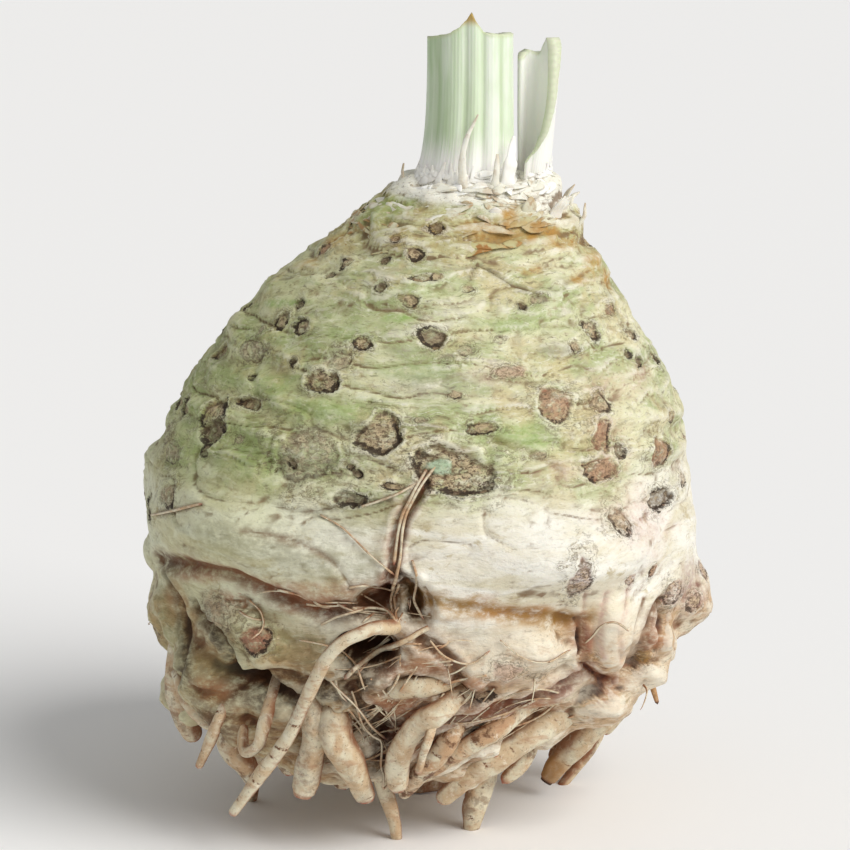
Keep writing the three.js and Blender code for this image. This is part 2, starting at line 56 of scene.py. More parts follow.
# The body's outline from below to the crown: height, half width, centre across.
PROFILE = [
    (14, 0.5, -5), (17, 20, -5), (22, 35, -4.5), (29, 46, -3), (37, 53, -1.5), (45, 57.5, -0.5),
    (55, 60, 0.5), (65, 61, -0.5), (72, 60.5, -1.2), (80, 59.2, -0.6), (88, 57, 0.6), (96, 53.2, 1.6),
    (104, 48.2, 2.2), (112, 42.8, 2.6), (119, 37.4, 3.8), (123, 33.8, 4.6), (128, 28, 6.6), (131, 25.6, 8),
    (133.5, 24, 8.6), (136.5, 20.4, 9), (139.5, 17.4, 11), (141.5, 15.8, 12.5), (143, 0.5, 12.5),
]
DEPTH_SHARE = 0.95
CROWN_HEIGHT = 141.5
CROWN_CENTRE = (12.5, 0.5)
HEART = np.array([1.0, 0.0, 64.0])

# How far from the heart the skin is searched for, and how often the last step of the search is halved.
FARTHEST_SKIN = 84.0
NEAREST_SKIN = 20.0
HALVINGS = 7

# Swollen lobes: x, y, z, reach x, reach y, reach z, tilt in degrees, blend.
FRONT_LOBES = [
    (-25.5, -36, 70, 25.5, 20.5, 11.5, -7, 6),
    (22, -37, 69, 25, 21.5, 11.5, -3, 5),
    (-35, -29, 49.5, 13.5, 21, 10, -28, 2),
    (-45.5, -19, 40, 9, 19, 9.5, -40, 2),
    (-53, -6, 47, 8, 19, 10, 0, 2),
    (-43, -28, 33, 11, 14, 7.5, -25, 2),
    (-52, -14, 27, 6.5, 11, 9, 0, 2),
    (17, -36, 47.5, 18, 20.5, 10.5, 16, 2.5),
    (6, -38, 37.5, 13, 14, 6, 10, 1.5),
    (-4, -34, 44, 9, 14, 7, 0, 1.5),
    (39, -28, 53, 7.5, 19, 14, 4, 2),
    (48, -16, 49, 6, 19, 13, 8, 2),
    (56, -3, 49.5, 7.5, 15, 9, 0, 2),
    (49, 2, 38, 7, 16, 9, 25, 2),
    (38, -20, 32, 11, 15, 8, 30, 2),
    (-56, 4, 74, 6.5, 12, 7, 0, 3),
    (-18, -27, 25, 19, 15, 12, -8, 2.5),
    (5, -28, 24, 17, 14, 12, 6, 2.5),
    (24, -20, 27, 14, 13, 9, 20, 2.5),
    (-36, -20, 27, 13, 14, 10, -22, 2.5),
    (-30, -27, 36, 12, 17, 9, -15, 2.5),
]
BACK_LOBE_COUNT = 11
BACK_LOBE_FIRST_TURN = 8
BACK_LOBE_TURN_STEP = 16.5
BACK_LOBE_LEVELS = [(57, 16), (40, 14)]
BACK_LOBE_DEPTH_IN = 11.5

# Hollows: x, y, z, reach x, reach y, reach z, tilt in degrees.
HOLLOWS = [
    (6, -60, 88, 9.5, 7.5, 6, 0),
    (-2, -61, 60, 4.5, 9, 6.5, 20),
    (-13, -56, 48.5, 8, 11, 5.5, 12),
    (-9, -58, 59.5, 6, 8, 4, 10),
    (-42, -47, 46, 4, 6, 12, 38),
    (32.5, -52, 49.5, 4, 6, 9, 28),
    (52, -32, 50, 4, 6, 10, -12),
]
HOLLOW_BLEND = 1.5

# Relief of the solid: swells as height, waves round, climb and phase, then level rings and knobs. The rings
# wander up and down by height, waves round and phase, and a belt says where they start, are full and fade.
SWELLS = [(0.6, 3, 0.05, 0.7), (0.4, 5, -0.09, 2)]
RING_SPACING = 8.2
RING_HEIGHT = 0.75
RING_SWAY = (1.2, 0.13)
RING_WANDER = [(2.2, 3, 1), (1.3, 7, 2.5), (0.8, 11, 0.3)]
RING_PATCH = (0.55, 0.45)
RING_BELT = (72, 86, 134, 139)
KNOB_HEIGHT = 1.1
KNOB_BELT = (40, 52)

# Roots of the front: x, y, z and radius, from inside the body to the tip.
FRONT_ROOTS = {
    "front_long": [
        (-2, -46, 56, 1.6), (-6, -55, 55, 1.7), (-12, -61, 55.5, 1.4), (-20, -61, 50, 1.4),
        (-28.5, -54, 31, 1.5), (-36, -49, 19, 1.5), (-41.5, -46, 10.5, 1),
    ],
    "front_foot": [(-10, -28, 24, 2.2), (-10, -30, 15.5, 1.9), (-7, -31, 5.5, 1.5), (-6, -30, -1, 1.3)],
    "middle_finger": [
        (-17, -30, 40, 3), (-19, -44, 33, 3.6), (-18.5, -47, 27.5, 3.6), (-15.5, -45, 20.5, 3.1),
        (-12.5, -41, 12.5, 1.9),
    ],
    "left_finger": [
        (-21, -32, 42, 2.6), (-23.5, -44, 34.5, 2.7), (-23.5, -45, 27, 2.7), (-25, -42, 19, 3.4),
        (-26.5, -40, 13.5, 2.5),
    ],
    "left_rear_finger": [(-28, -20, 30, 2.8), (-30.5, -30, 20.5, 2.8), (-29, -30, 15, 2.1)],
    "far_left_finger": [
        (-44, -18, 32, 3.2), (-42.5, -26, 21, 3.2), (-39.5, -26, 15.5, 2.6), (-37, -24, 10, 1.6),
    ],
    "hook": [
        (-31, -38, 40, 1.4), (-34, -48, 32, 1.4), (-35.5, -49, 27, 1.3), (-38.5, -46, 25, 1.2),
        (-39, -40, 29, 1.2),
    ],
    "left_thin": [(-40, -32, 38, 1.2), (-43.5, -41, 32, 1.2), (-46, -40, 25.5, 1.2), (-49, -38, 18.5, 0.9)],
    "left_corner": [(-52, -14, 46, 3), (-54, -20, 35.5, 3.2), (-53, -20, 26, 3), (-51, -18, 18.5, 2)],
    "left_cross": [(-54, -24, 36, 1.7), (-51, -31, 31, 1.7), (-46, -31, 26.5, 1.7), (-40, -26, 30, 1.5)],
    "left_foot": [(-34, -22, 24, 1.6), (-37, -14, 12, 1.4), (-39.5, -2, -1, 1.2)],
    "bent": [
        (13, -40, 41, 2.4), (4, -50, 35.5, 2.5), (-2, -49, 31, 2.7), (-5.5, -46, 24, 2.7),
        (-6, -42, 15.5, 2.5),
    ],
    "long_right": [
        (41, -20, 37, 3), (29.5, -30, 28.5, 3.2), (18.5, -34, 22, 3.2), (10, -34, 16, 3), (3, -32, 9, 1.9),
    ],
    "right_foot": [(15, -18, 24, 3.2), (12.5, -23, 11.2, 3), (11, -24, 5.4, 2.6), (10, -23, -1, 1.8)],
    "right_finger": [
        (48, -4, 36, 3.3), (42.5, -4, 22.5, 3.1), (36, -3, 15, 2.9), (31, -1, 9, 3), (27.5, 0, 3.5, 1.8),
    ],
    "thorn": [(49, -4, 36, 1.4), (50.5, -8, 29.5, 0.9), (52, -8, 24, 0.5)],
    "tangle": [(4, -45, 38, 1), (1, -52, 30, 1), (-0.5, -51.5, 25.5, 0.9), (-1.5, -50, 21, 0.8)],
    "gap_finger": [(-20, -20, 28, 2.8), (-19.5, -26, 15.5, 2.6), (-17.5, -26, 10, 1.7)],
    "bridge": [(-13, -40, 37, 2.1), (-5.5, -50, 40, 2.5), (2, -50, 41, 2.3), (11, -42, 43, 1.9)],
    "inner_right": [(24, -20, 26, 2.2), (22, -27, 18, 2), (17, -28, 12, 1.4)],
    "under_bent": [(8, -36, 34, 2.6), (5, -43, 26.5, 2.5), (-1, -40, 18, 2.1), (-5, -34, 11, 1.2)],
    "under_long": [(26, -32, 34, 2), (15, -41, 28, 2.2), (5, -40, 21.5, 2), (-1, -35, 15, 1.2)],
}
TAPROOT = [(-3, 6, 26, 13), (-1, 9, 10, 9.5), (0, 10, -2, 8.5)]
BACK_ROOT_COUNT = 20
BACK_ROOT_TURN_STEP = 9.4
BACK_ROOT_FOOT_EVERY = 5
BACK_ROOT_BULGE = 8
BACK_ROOT_SWAY = 8
LOWEST_LOOSE_TIP = 5

# Cut leaf stalks: middle line in plan, tops and thickness from one edge to the other. A foot is the top
# scaled by a share about a point in plan, and the power says how near the foot that starts.
STALKS = {
    "stalk_front": dict(
        middle=[(2.2, 2.5), (2.4, -4), (5.6, -8.2), (10, -9.4), (14.4, -8.4), (17.6, -4.2), (17.8, 2.5)],
        tops=[171.5, 172.5, 173, 173.5, 174, 175.5, 178.5, 174.5, 174, 173.8, 173.6, 173.5, 172.5],
        thickness=[1.6, 3.2, 4, 4.2, 4, 3.2, 1.6],
        foot=(1.2, (16, -8), 4), ribs=6, rib_height=0.3, greenness=0.75, bleached=0.3),
    "stalk_right": dict(
        middle=[(21.8, -7.2), (25.2, -5.6), (27.6, -2.6), (28.2, 1.4), (27.2, 5.2), (25, 7), (22, 6.2),
                (20.8, 3.6)],
        tops=[146, 148.5, 152, 157, 163, 169, 172, 170, 168.5, 168.5, 169, 168.5, 167.5],
        thickness=[1.4, 2, 2.4, 2.8, 3, 3, 2.6, 1.5],
        foot=(0.74, (20.4, 0), 1), ribs=5, rib_height=0.25, greenness=0.15, bleached=1.45),
    "stalk_back": dict(
        middle=[(17.2, 7), (14.6, 10.8), (9.6, 12.2), (4.6, 10), (3.2, 6.4)],
        tops=[158, 162, 163, 161, 158],
        thickness=[1.5, 2.8, 3.4, 2.8, 1.5],
        foot=(1.1, (10, 9), 3), ribs=5, rib_height=0.3, greenness=0.6, bleached=0.25),
}
HEART_SHOOT = [(10, 1.5, 0, 3.2), (10, 1.5, 9, 2.8), (10.6, 1.8, 17, 1.9), (11.4, 2, 23, 0.8)]


# Small maths

def srgb(red, green, blue):
    """A colour given as 0 to 255 on screen, as the linear values that shaders take."""
    def linear(value):
        share = value / 255
        return share / 12.92 if share <= 0.04045 else ((share + 0.055) / 1.055) ** 2.4
    return (linear(red), linear(green), linear(blue), 1.0)


# The turn in degrees that spreads any number of things evenly round.
GOLDEN_TURN = 137.5


def scatter(index, channel):
    """A repeatable random number between -1 and 1 for a thing's index and a channel."""
    wave = math.sin(index * 12.9898 + channel * 78.233) * 43758.5453
    return (wave - math.floor(wave)) * 2 - 1


def unit(vector):
    return vector / np.linalg.norm(vector)


def unit_rows(vectors):
    return vectors / np.linalg.norm(vectors, axis=1)[:, None]


def smoothstep(low, high, values):
    share = np.clip((values - low) / (high - low), 0, 1)
    return share * share * (3 - 2 * share)


HASH_STEPS = (374761393, 668265263, 2147483647)
HASH_MIX = 1274126177


def grain(points, size, seed=0):
    """Smooth random values between -1 and 1 over space. The size of the blobs is one or three numbers."""
    spots = points / np.asarray(size, float) + seed * 17.31
    cells = np.floor(spots)
    share = spots - cells
    share = share * share * (3 - 2 * share)
    cells = cells.astype(np.int64)
    total = np.zeros(len(points))
    for corner in range(8):
        step = np.array([corner & 1, corner >> 1 & 1, corner >> 2 & 1])
        place = cells + step
        mixed = (place[:, 0] * HASH_STEPS[0] + place[:, 1] * HASH_STEPS[1] + place[:, 2] * HASH_STEPS[2]
                 + seed * HASH_MIX)
        mixed = (mixed ^ (mixed >> 13)) * HASH_MIX & 0x7FFFFFFF
        value = (mixed % 65536) / 32767.5 - 1
        weight = np.prod(np.where(step == 1, share, 1 - share), axis=1)
        total += value * weight
    return total


def catmull_rom(points, per_gap):
    """A smooth run through the points, with evenly spaced steps in each gap."""
    rows = np.array(points, float)
    rows = np.vstack([2 * rows[0] - rows[1], rows, 2 * rows[-1] - rows[-2]])
    share = np.linspace(0, 1, per_gap, endpoint=False)[:, None]
    run = []
    for before, start, end, after in zip(rows, rows[1:], rows[2:], rows[3:]):
        run.append(0.5 * (2 * start + (end - before) * share
                          + (2 * before - 5 * start + 4 * end - after) * share ** 2
                          + (3 * start - before - 3 * end + after) * share ** 3))
    return np.vstack(run + [rows[-2][None]])


# The picture's rays

def picture_axes():
    rise = math.radians(CAMERA_RISE)
    back = np.array([0, -math.cos(rise), math.sin(rise)])
    up = np.array([0, math.sin(rise), math.cos(rise)])
    return np.array([1.0, 0, 0]), up, back


RIGHT, UP, BACK = picture_axes()
EYE = CAMERA_TARGET + BACK * CAMERA_DISTANCE


def picture_ray(across, down):
    """The direction in which a pixel of the photograph looks."""
    ray = RIGHT * (across - PICTURE_MIDDLE) - UP * (down - PICTURE_MIDDLE)
    return unit(ray - BACK * PIXELS_PER_MM * CAMERA_DISTANCE)


def placed(name, data):
    """A new object for a mesh, a light or a camera, in the scene."""
    thing = bpy.data.objects.new(name, data)
    bpy.context.scene.collection.objects.link(thing)
    return thing


def make_camera():
    data = bpy.data.cameras.new("photo_camera")
    data.sensor_width = SENSOR_WIDTH
    data.lens = PIXELS_PER_MM * CAMERA_DISTANCE / PICTURE_SIDE * SENSOR_WIDTH
    camera = placed("photo_camera", data)
    camera.location = Vector(EYE * TO_METRES)
    camera.rotation_euler = Vector(-BACK).to_track_quat("-Z", "Y").to_euler()
    bpy.context.scene.camera = camera


# The body's skin

PROFILE_RUN = catmull_rom(PROFILE, 20)


def profile_at(height):
    """The half width of the body's outline at a height, and how far its centre lies across."""
    half = np.interp(height, PROFILE_RUN[:, 0], PROFILE_RUN[:, 1])
    return half, np.interp(height, PROFILE_RUN[:, 0], PROFILE_RUN[:, 2])


def ellipsoid_distance(points, shape):
    """About how far points are outside an ellipsoid, from the first seven numbers of a lobe or hollow."""
    x, y, z, reach_x, reach_y, reach_z, tilt = shape[:7]
    turn = math.radians(tilt)
    across = (points[:, 0] - x) * math.cos(turn) + (points[:, 2] - z) * math.sin(turn)
    rise = (points[:, 2] - z) * math.cos(turn) - (points[:, 0] - x) * math.sin(turn)
    share = np.sqrt((across / reach_x) ** 2 + ((points[:, 1] - y) / reach_y) ** 2 + (rise / reach_z) ** 2)
    return (share - 1) * min(reach_x, reach_y, reach_z)


def smooth_join(first, second, blend):
    share = np.maximum(blend - np.abs(first - second), 0) / blend
    return np.minimum(first, second) - share * share * blend / 4


def back_lobes():
    lobes = []
    for index in range(BACK_LOBE_COUNT):
        turn = math.radians(BACK_LOBE_FIRST_TURN + BACK_LOBE_TURN_STEP * index + 4 * scatter(index, 1))
        for row, (level, reach) in enumerate(BACK_LOBE_LEVELS):
            height = level + 5 * scatter(index, 2 + row)
            width = reach * (1 + 0.2 * scatter(index, 4 + row))
            out = profile_at(height)[0] - BACK_LOBE_DEPTH_IN
            tall = 8.5 + 1.5 * scatter(index, 6 + row)
            lobes.append((math.cos(turn) * out, math.sin(turn) * out * DEPTH_SHARE, height,
                          width, width, tall, 0, 2))
    return lobes


LOBES = FRONT_LOBES + back_lobes()


def skin_relief(points):
    x, y, z = points.T
    turn = np.arctan2(y, x)
    relief = sum(height * np.sin(waves * turn + climb * z + phase) for height, waves, climb, phase in SWELLS)
    wander = RING_SWAY[0] * np.sin(z * RING_SWAY[1])
    for height, waves, phase in RING_WANDER:
        wander = wander + height * np.sin(waves * turn + phase)
    start, full, fade, end = RING_BELT
    belt = np.clip((z - start) / (full - start), 0, 1) * np.clip((end - z) / (end - fade), 0, 1)
    patch = RING_PATCH[0] + RING_PATCH[1] * np.sin(4 * turn + z * 0.16 + 1.7)
    relief = relief + RING_HEIGHT * belt * patch * np.sin((z + wander) * 2 * math.pi / RING_SPACING)
    full, fade = KNOB_BELT
    under = np.clip((fade - z) / (fade - full), 0, 1)
    return relief + KNOB_HEIGHT * under * np.sin(11 * turn + 0.2 * z) * np.sin(0.45 * z + 3 * turn)


def skin_distance(points):
    """About how far the points are outside the body, negative inside it."""
    x, y, z = points.T
    half, across = profile_at(z)
    distance = np.hypot(x - across, y / DEPTH_SHARE) - half
    distance = np.maximum(distance, np.maximum(PROFILE[0][0] - z, z - CROWN_HEIGHT))
    for lobe in LOBES:
        distance = smooth_join(distance, ellipsoid_distance(points, lobe), lobe[7])
    for hollow in HOLLOWS:
        distance = -smooth_join(-distance, ellipsoid_distance(points, hollow), HOLLOW_BLEND)
    return distance - skin_relief(points)


def first_inside(start, directions, near, far, step):
    """How far along each direction the first skin is, marching from near to far."""
    reach = np.full(len(directions), float(near))
    waiting = np.arange(len(directions))
    while len(waiting):
        reach[waiting] += step
        inside = skin_distance(start + directions[waiting] * reach[waiting, None]) < 0
        past = (reach[waiting] - far) * np.sign(step) >= 0
        waiting = waiting[~inside & ~past]
    low, high = reach.copy(), reach - step
    for _ in range(HALVINGS):
        middle = (low + high) / 2
        inside = skin_distance(start + directions * middle[:, None]) < 0
        low = np.where(inside, middle, low)
        high = np.where(inside, high, middle)
    return low


def on_skin(pixels):
    """Where pixels of the photograph meet the body. One beside the body is first moved towards its middle."""
    spots = np.array(pixels, float)
    while True:
        rays = np.array([picture_ray(across, down) for across, down in spots])
        reach = first_inside(EYE, rays, NEAR_SKIN, FAR_SKIN, step=1.0)
        missed = reach >= FAR_SKIN
        if not missed.any():
            return EYE + rays * reach[:, None]
        spots[missed] += (BODY_PIXEL - spots[missed]) * PULL_TO_BODY


def spot_on_skin(turn, height):
    """The place on the skin at a turn and about a height, and the way to it from the heart."""
    half, across = profile_at(height)
    spot = np.array([across + half * math.cos(turn), half * DEPTH_SHARE * math.sin(turn), height])
    toward = unit(spot - HEART)
    reach = first_inside(HEART, toward[None], FARTHEST_SKIN, NEAREST_SKIN, step=-1.0)[0]
    return HEART + toward * reach, toward


def skin_normals(points):
    tilt = 0.6
    slopes = [skin_distance(points + step) - skin_distance(points - step) for step in np.eye(3) * tilt]
    return unit_rows(np.array(slopes).T)


# Scars, creases and stains

# Scars by their place in the photograph: across, down, radius across, radius down, kind.
PHOTO_SCARS = [
    (380, 437, 20, 20, "eye"), (556, 407, 17, 17, "red_eye"), (433, 337, 13, 11, "pit"),
    (214, 414, 17, 14, "eye"), (212, 433, 15, 12, "pit"), (250, 404, 16, 6, "slit"),
    (304, 453, 32, 25, "smudge"), (293, 464, 4, 4, "pit"), (277, 471, 3, 3, "pit"),
    (350, 499, 17, 7, "pit"), (394, 487, 12, 3, "slit"), (484, 427, 16, 6, "slit"),
    (580, 581, 13, 17, "purple"), (619, 522, 13, 13, "tan"), (661, 499, 14, 8, "pit"),
    (662, 452, 10, 11, "red_eye"), (601, 469, 16, 10, "red_eye"), (601, 434, 8, 12, "red_eye"),
    (599, 404, 10, 10, "tan"), (620, 450, 6, 6, "pit"), (591, 331, 7, 10, "eye"), (522, 307, 4, 4, "hole"),
    (575, 348, 6, 5, "tan"), (638, 362, 6, 5, "pit"), (627, 355, 5, 4, "pit"), (610, 310, 6, 5, "red_eye"),
    (670, 417, 5, 5, "tan"), (683, 479, 5, 6, "tan"), (631, 579, 6, 6, "purple"),
    (653, 571, 5, 5, "red_eye"), (511, 371, 18, 6, "pink"), (466, 351, 9, 6, "smudge"),
    (446, 358, 8, 6, "smudge"), (410, 301, 9, 7, "tan"), (421, 279, 11, 4, "slit"), (436, 278, 6, 4, "tan"),
    (415, 255, 8, 6, "eye"), (436, 226, 8, 6, "pit"), (346, 263, 6, 6, "eye"), (385, 260, 5, 4, "pit"),
    (329, 274, 5, 4, "pit"), (381, 287, 7, 5, "pit"), (281, 321, 8, 7, "eye"), (302, 326, 9, 7, "eye"),
    (363, 343, 10, 7, "eye"), (293, 363, 4, 4, "hole"), (252, 349, 15, 9, "smudge"),
    (323, 381, 17, 9, "eye"), (337, 362, 14, 9, "smudge"), (252, 376, 4, 4, "hole"),
    (187, 406, 7, 8, "eye"), (358, 474, 5, 4, "pit"), (351, 467, 4, 3, "pit"), (168, 495, 10, 10, "tan"),
    (149, 514, 6, 6, "pit"), (172, 451, 12, 9, "smudge"), (252, 642, 17, 14, "wound"),
    (216, 615, 14, 11, "smudge"), (506, 671, 13, 9, "pink"), (482, 696, 12, 4, "slit"),
    (541, 673, 12, 6, "smudge"), (673, 591, 13, 10, "purple"), (702, 569, 8, 8, "purple"),
    (694, 600, 9, 8, "purple"), (643, 657, 9, 5, "orange"), (588, 659, 9, 6, "orange"),
    (453, 471, 40, 24, "crater"), (441, 466, 13, 9, "teal"), (538, 300, 9, 4, "smudge"),
    (300, 304, 5, 4, "pit"), (396, 240, 6, 4, "tan"), (468, 290, 6, 4, "tan"), (500, 340, 7, 4, "smudge"),
    (455, 395, 8, 4, "tan"), (540, 455, 9, 4, "smudge"), (420, 420, 7, 4, "smudge"),
    (240, 300, 6, 5, "pit"), (262, 330, 6, 5, "smudge"), (205, 450, 6, 5, "pit"),
    (240, 440, 6, 4, "smudge"),
]

# How each kind of scar is shaped and stained. Rim and floor are heights in millimetres, the rest are shares.
SCAR_KINDS = {
    "eye": dict(rim=0.45, floor=-0.3, edge=1.0, rings=1.0, stain=0.4, mottle=0.8, tint="brown"),
    "red_eye": dict(rim=0.35, floor=0.1, edge=0.5, rings=0.8, stain=0.9, mottle=0.5, tint="red"),
    "pit": dict(rim=0.2, floor=-0.9, edge=0.9, rings=0.4, stain=0.8, mottle=0.5, tint="dark"),
    "hole": dict(rim=0.1, floor=-1.2, edge=0.8, rings=0.3, stain=1.0, mottle=0.0, tint="dark"),
    "slit": dict(rim=0.3, floor=-0.8, edge=0.9, rings=0.7, stain=0.6, mottle=0.6, tint="brown"),
    "smudge": dict(rim=0.1, floor=0.1, edge=0.3, rings=1.3, stain=0.4, mottle=0.5, tint="grey"),
    "tan": dict(rim=0.3, floor=0.2, edge=0.5, rings=0.8, stain=0.5, mottle=0.6, tint="brown"),
    "wound": dict(rim=0.5, floor=-0.5, edge=0.7, rings=0.8, stain=1.0, mottle=0.3, tint="blood"),
    "purple": dict(rim=0.35, floor=0.25, edge=0.45, rings=0.6, stain=0.7, mottle=0.8, tint="purple"),
    "pink": dict(rim=0.1, floor=0.2, edge=0.15, rings=1.0, stain=0.6, mottle=0.3, tint="pink"),
    "orange": dict(rim=0.05, floor=0.2, edge=0.2, rings=0.3, stain=0.8, mottle=0.3, tint="orange"),
    "crater": dict(rim=0.6, floor=-0.7, edge=0.75, rings=1.0, stain=0.45, mottle=0.9, tint="brown"),
    "teal": dict(rim=0.2, floor=0.9, edge=0.1, rings=0.0, stain=0.85, mottle=0.3, tint="teal"),
}
TINTS = "olive cream green grey brown rust orange pink red purple blood teal dark".split()
SCAR_RINGS = 17.0
SCAR_SPAN = 2.4
LINE_MARGIN = 6

# Seeded scars of the sides and back: the first turn and the arc in degrees, the middle height and the spread.
SIDE_SCAR_COUNT = 86
SIDE_SCAR_TURN_STEP = 77.0
SIDE_SCAR_ARC = (-18, 216)
SIDE_SCAR_LEVEL = (84, 46)
SIDE_SCAR_KINDS = "eye pit smudge tan red_eye pit slit eye hole tan smudge purple".split()

# Creases and stained belts by their run in the photograph: width in mm, depth in mm, stain, tint, pixels.
# The wide lines in the dark tint, low in deep folds and gaps, are painted shade; the thin ones are dark
# marks.
PHOTO_LINES = [
    (3.0, 1.8, 0.75, "brown",
     [(158, 560), (183, 564), (235, 575), (283, 598), (321, 610), (369, 604), (398, 585)]),
    (1.6, 0.6, 0.8, "red", [(185, 562), (235, 572), (285, 596), (322, 608)]),
    (2.6, 0.9, 0.9, "orange", [(412, 592), (450, 605), (500, 613), (550, 617), (588, 619)]),
    (2.0, 2.0, 1.0, "red", [(426, 482), (414, 500), (402, 520), (396, 545), (394, 562), (386, 590)]),
    (2.2, 2.2, 1.0, "dark", [(396, 575), (410, 585), (416, 600), (412, 612)]),
    (2.6, 2.4, 1.0, "dark", [(197, 608), (219, 642), (254, 676), (290, 692)]),
    (4.2, 2.6, 1.0, "dark", [(350, 632), (372, 640), (385, 655), (362, 672), (352, 688)]),
    (3.0, 2.2, 1.0, "red", [(395, 735), (430, 722), (480, 715), (520, 703), (555, 690), (578, 676)]),
    (2.2, 1.8, 1.0, "brown", [(420, 640), (438, 650), (452, 664), (462, 690)]),
    (2.6, 2.2, 1.0, "dark", [(392, 690), (410, 682), (440, 690), (470, 700)]),
    (1.8, 1.6, 0.9, "red", [(580, 622), (583, 650), (590, 670), (610, 682)]),
    (0.9, 0.35, 0.7, "pink", [(628, 590), (627, 610), (622, 640), (624, 662)]),
    (0.8, 0.3, 0.4, "pink", [(585, 590), (583, 620), (588, 640)]),
    (0.8, 0.3, 0.7, "pink", [(606, 592), (602, 615), (600, 640), (604, 660)]),
    (0.9, 0.35, 0.6, "brown", [(644, 600), (638, 622), (634, 650)]),
    (0.9, 0.5, 0.7, "red", [(590, 668), (606, 690), (598, 706)]),
    (1.8, 1.0, 0.8, "brown", [(658, 600), (648, 630), (640, 668)]),
    (2.0, 1.4, 0.8, "dark", [(168, 575), (178, 600), (186, 640), (176, 690)]),
    (2.4, 1.8, 0.9, "brown", [(196, 690), (220, 700), (240, 690), (268, 672), (320, 684)]),
    (3.0, 2.2, 1.0, "dark", [(300, 700), (325, 690), (352, 700), (380, 720), (384, 760)]),
    (0.7, 0.35, 0.7, "dark", [(477, 262), (507, 281), (534, 293), (543, 303)]),
    (0.7, 0.35, 0.6, "dark", [(478, 262), (470, 280)]),
    (0.8, 0.3, 0.5, "dark", [(275, 507), (309, 512), (345, 505), (390, 500)]),
    (0.8, 0.3, 0.5, "brown", [(158, 514), (180, 510), (202, 505)]),
    (1.0, 0.3, 0.4, "brown", [(493, 440), (530, 452), (560, 470)]),
    (0.9, 0.3, 0.5, "brown", [(240, 530), (290, 540), (330, 560), (352, 590)]),
]

# Stains without a shape, and patches of painted shade, for each tint: across, down, radius across, radius
# down, strength.
PHOTO_STAINS_AND_SHADE = {
    "orange": [
        (509, 217, 10, 9, 1.0), (530, 236, 10, 7, 0.9), (549, 231, 10, 6, 0.9), (494, 236, 26, 7, 0.8),
        (530, 270, 16, 6, 0.6), (578, 281, 10, 5, 0.8), (470, 226, 18, 6, 0.7), (524, 226, 34, 7, 0.8),
        (560, 244, 22, 7, 0.7), (436, 228, 12, 8, 0.7), (595, 262, 16, 20, 0.7), (606, 278, 13, 13, 0.9),
        (592, 250, 10, 10, 0.4), (436, 226, 16, 8, 0.35), (338, 240, 18, 9, 0.5), (310, 262, 16, 9, 0.5),
    ],
    "green": [
        (390, 205, 40, 12, 0.6), (372, 215, 26, 10, 0.45), (285, 303, 34, 4, 0.9), (398, 318, 18, 5, 0.9),
        (350, 335, 30, 9, 0.5), (270, 385, 40, 16, 0.5), (330, 410, 60, 20, 0.5), (250, 460, 40, 30, 0.4),
        (520, 440, 50, 22, 0.6), (440, 290, 60, 10, 0.35), (510, 325, 60, 10, 0.4), (420, 372, 40, 10, 0.5),
        (190, 440, 20, 40, 0.4), (470, 210, 40, 10, 0.3),
    ],
    "olive": [
        (430, 205, 40, 9, 0.2), (470, 240, 60, 12, 0.25), (240, 545, 70, 26, 0.5), (340, 565, 60, 24, 0.5),
        (370, 520, 30, 22, 0.4), (262, 640, 46, 28, 0.7), (205, 670, 40, 30, 0.6), (170, 620, 20, 50, 0.55),
        (305, 650, 30, 30, 0.5), (372, 200, 24, 14, 0.3), (400, 222, 40, 10, 0.25),
    ],
    "grey": [
        (440, 385, 50, 16, 0.35), (300, 540, 66, 26, 0.35), (365, 450, 30, 30, 0.25),
        (560, 350, 30, 10, 0.3), (410, 352, 24, 8, 0.3),
    ],
    "pink": [
        (615, 385, 40, 18, 0.3), (640, 520, 44, 40, 0.35), (560, 470, 40, 16, 0.25),
        (640, 372, 20, 14, 0.4), (606, 440, 24, 44, 0.3), (500, 372, 34, 10, 0.3),
    ],
    # Of the brown ones, those at 236, 742 and 330, 765, low on the left between the roots, are painted shade.
    "brown": [
        (205, 640, 30, 40, 0.5), (300, 680, 60, 24, 0.4), (400, 650, 60, 40, 0.5), (440, 700, 70, 26, 0.4),
        (180, 570, 30, 14, 0.5), (230, 700, 60, 26, 0.5), (225, 722, 44, 24, 0.7), (640, 650, 20, 30, 0.4),
        (300, 735, 60, 20, 0.5), (236, 742, 50, 34, 0.6), (330, 765, 60, 26, 0.5),
    ],
    "purple": [
        (690, 590, 24, 30, 0.5),
    ],
    "cream": [
        (608, 622, 30, 46, 0.85), (632, 640, 24, 44, 0.6), (650, 690, 24, 18, 0.6), (508, 655, 64, 28, 0.8),
        (575, 690, 26, 16, 0.7), (540, 690, 30, 14, 0.5), (468, 560, 60, 20, 0.3),
    ],
    "rust": [
        (500, 611, 28, 6, 0.9), (536, 612, 22, 7, 1.0), (480, 604, 20, 6, 0.6), (588, 640, 9, 20, 0.8),
        (300, 590, 60, 10, 0.5), (205, 575, 40, 9, 0.5), (655, 640, 14, 26, 0.7), (400, 705, 44, 26, 0.8),
        (450, 690, 50, 16, 0.7), (330, 604, 50, 12, 0.6), (225, 600, 26, 14, 0.6), (176, 600, 14, 22, 0.5),
        (178, 690, 18, 16, 0.6), (520, 706, 50, 9, 0.7), (215, 690, 24, 14, 0.5), (410, 745, 50, 14, 0.6),
        (395, 668, 26, 12, 0.7), (430, 665, 30, 14, 0.5), (352, 585, 40, 8, 0.3),
    ],
    # The dark ones are painted shade in the hollows, folds and gaps between the roots.
    "dark": [
        (378, 655, 40, 24, 0.7), (262, 700, 30, 12, 0.7), (336, 690, 24, 12, 0.7), (186, 650, 8, 30, 0.7),
        (350, 612, 30, 10, 0.7), (470, 735, 50, 12, 0.6), (204, 728, 30, 24, 0.5),
    ],
}


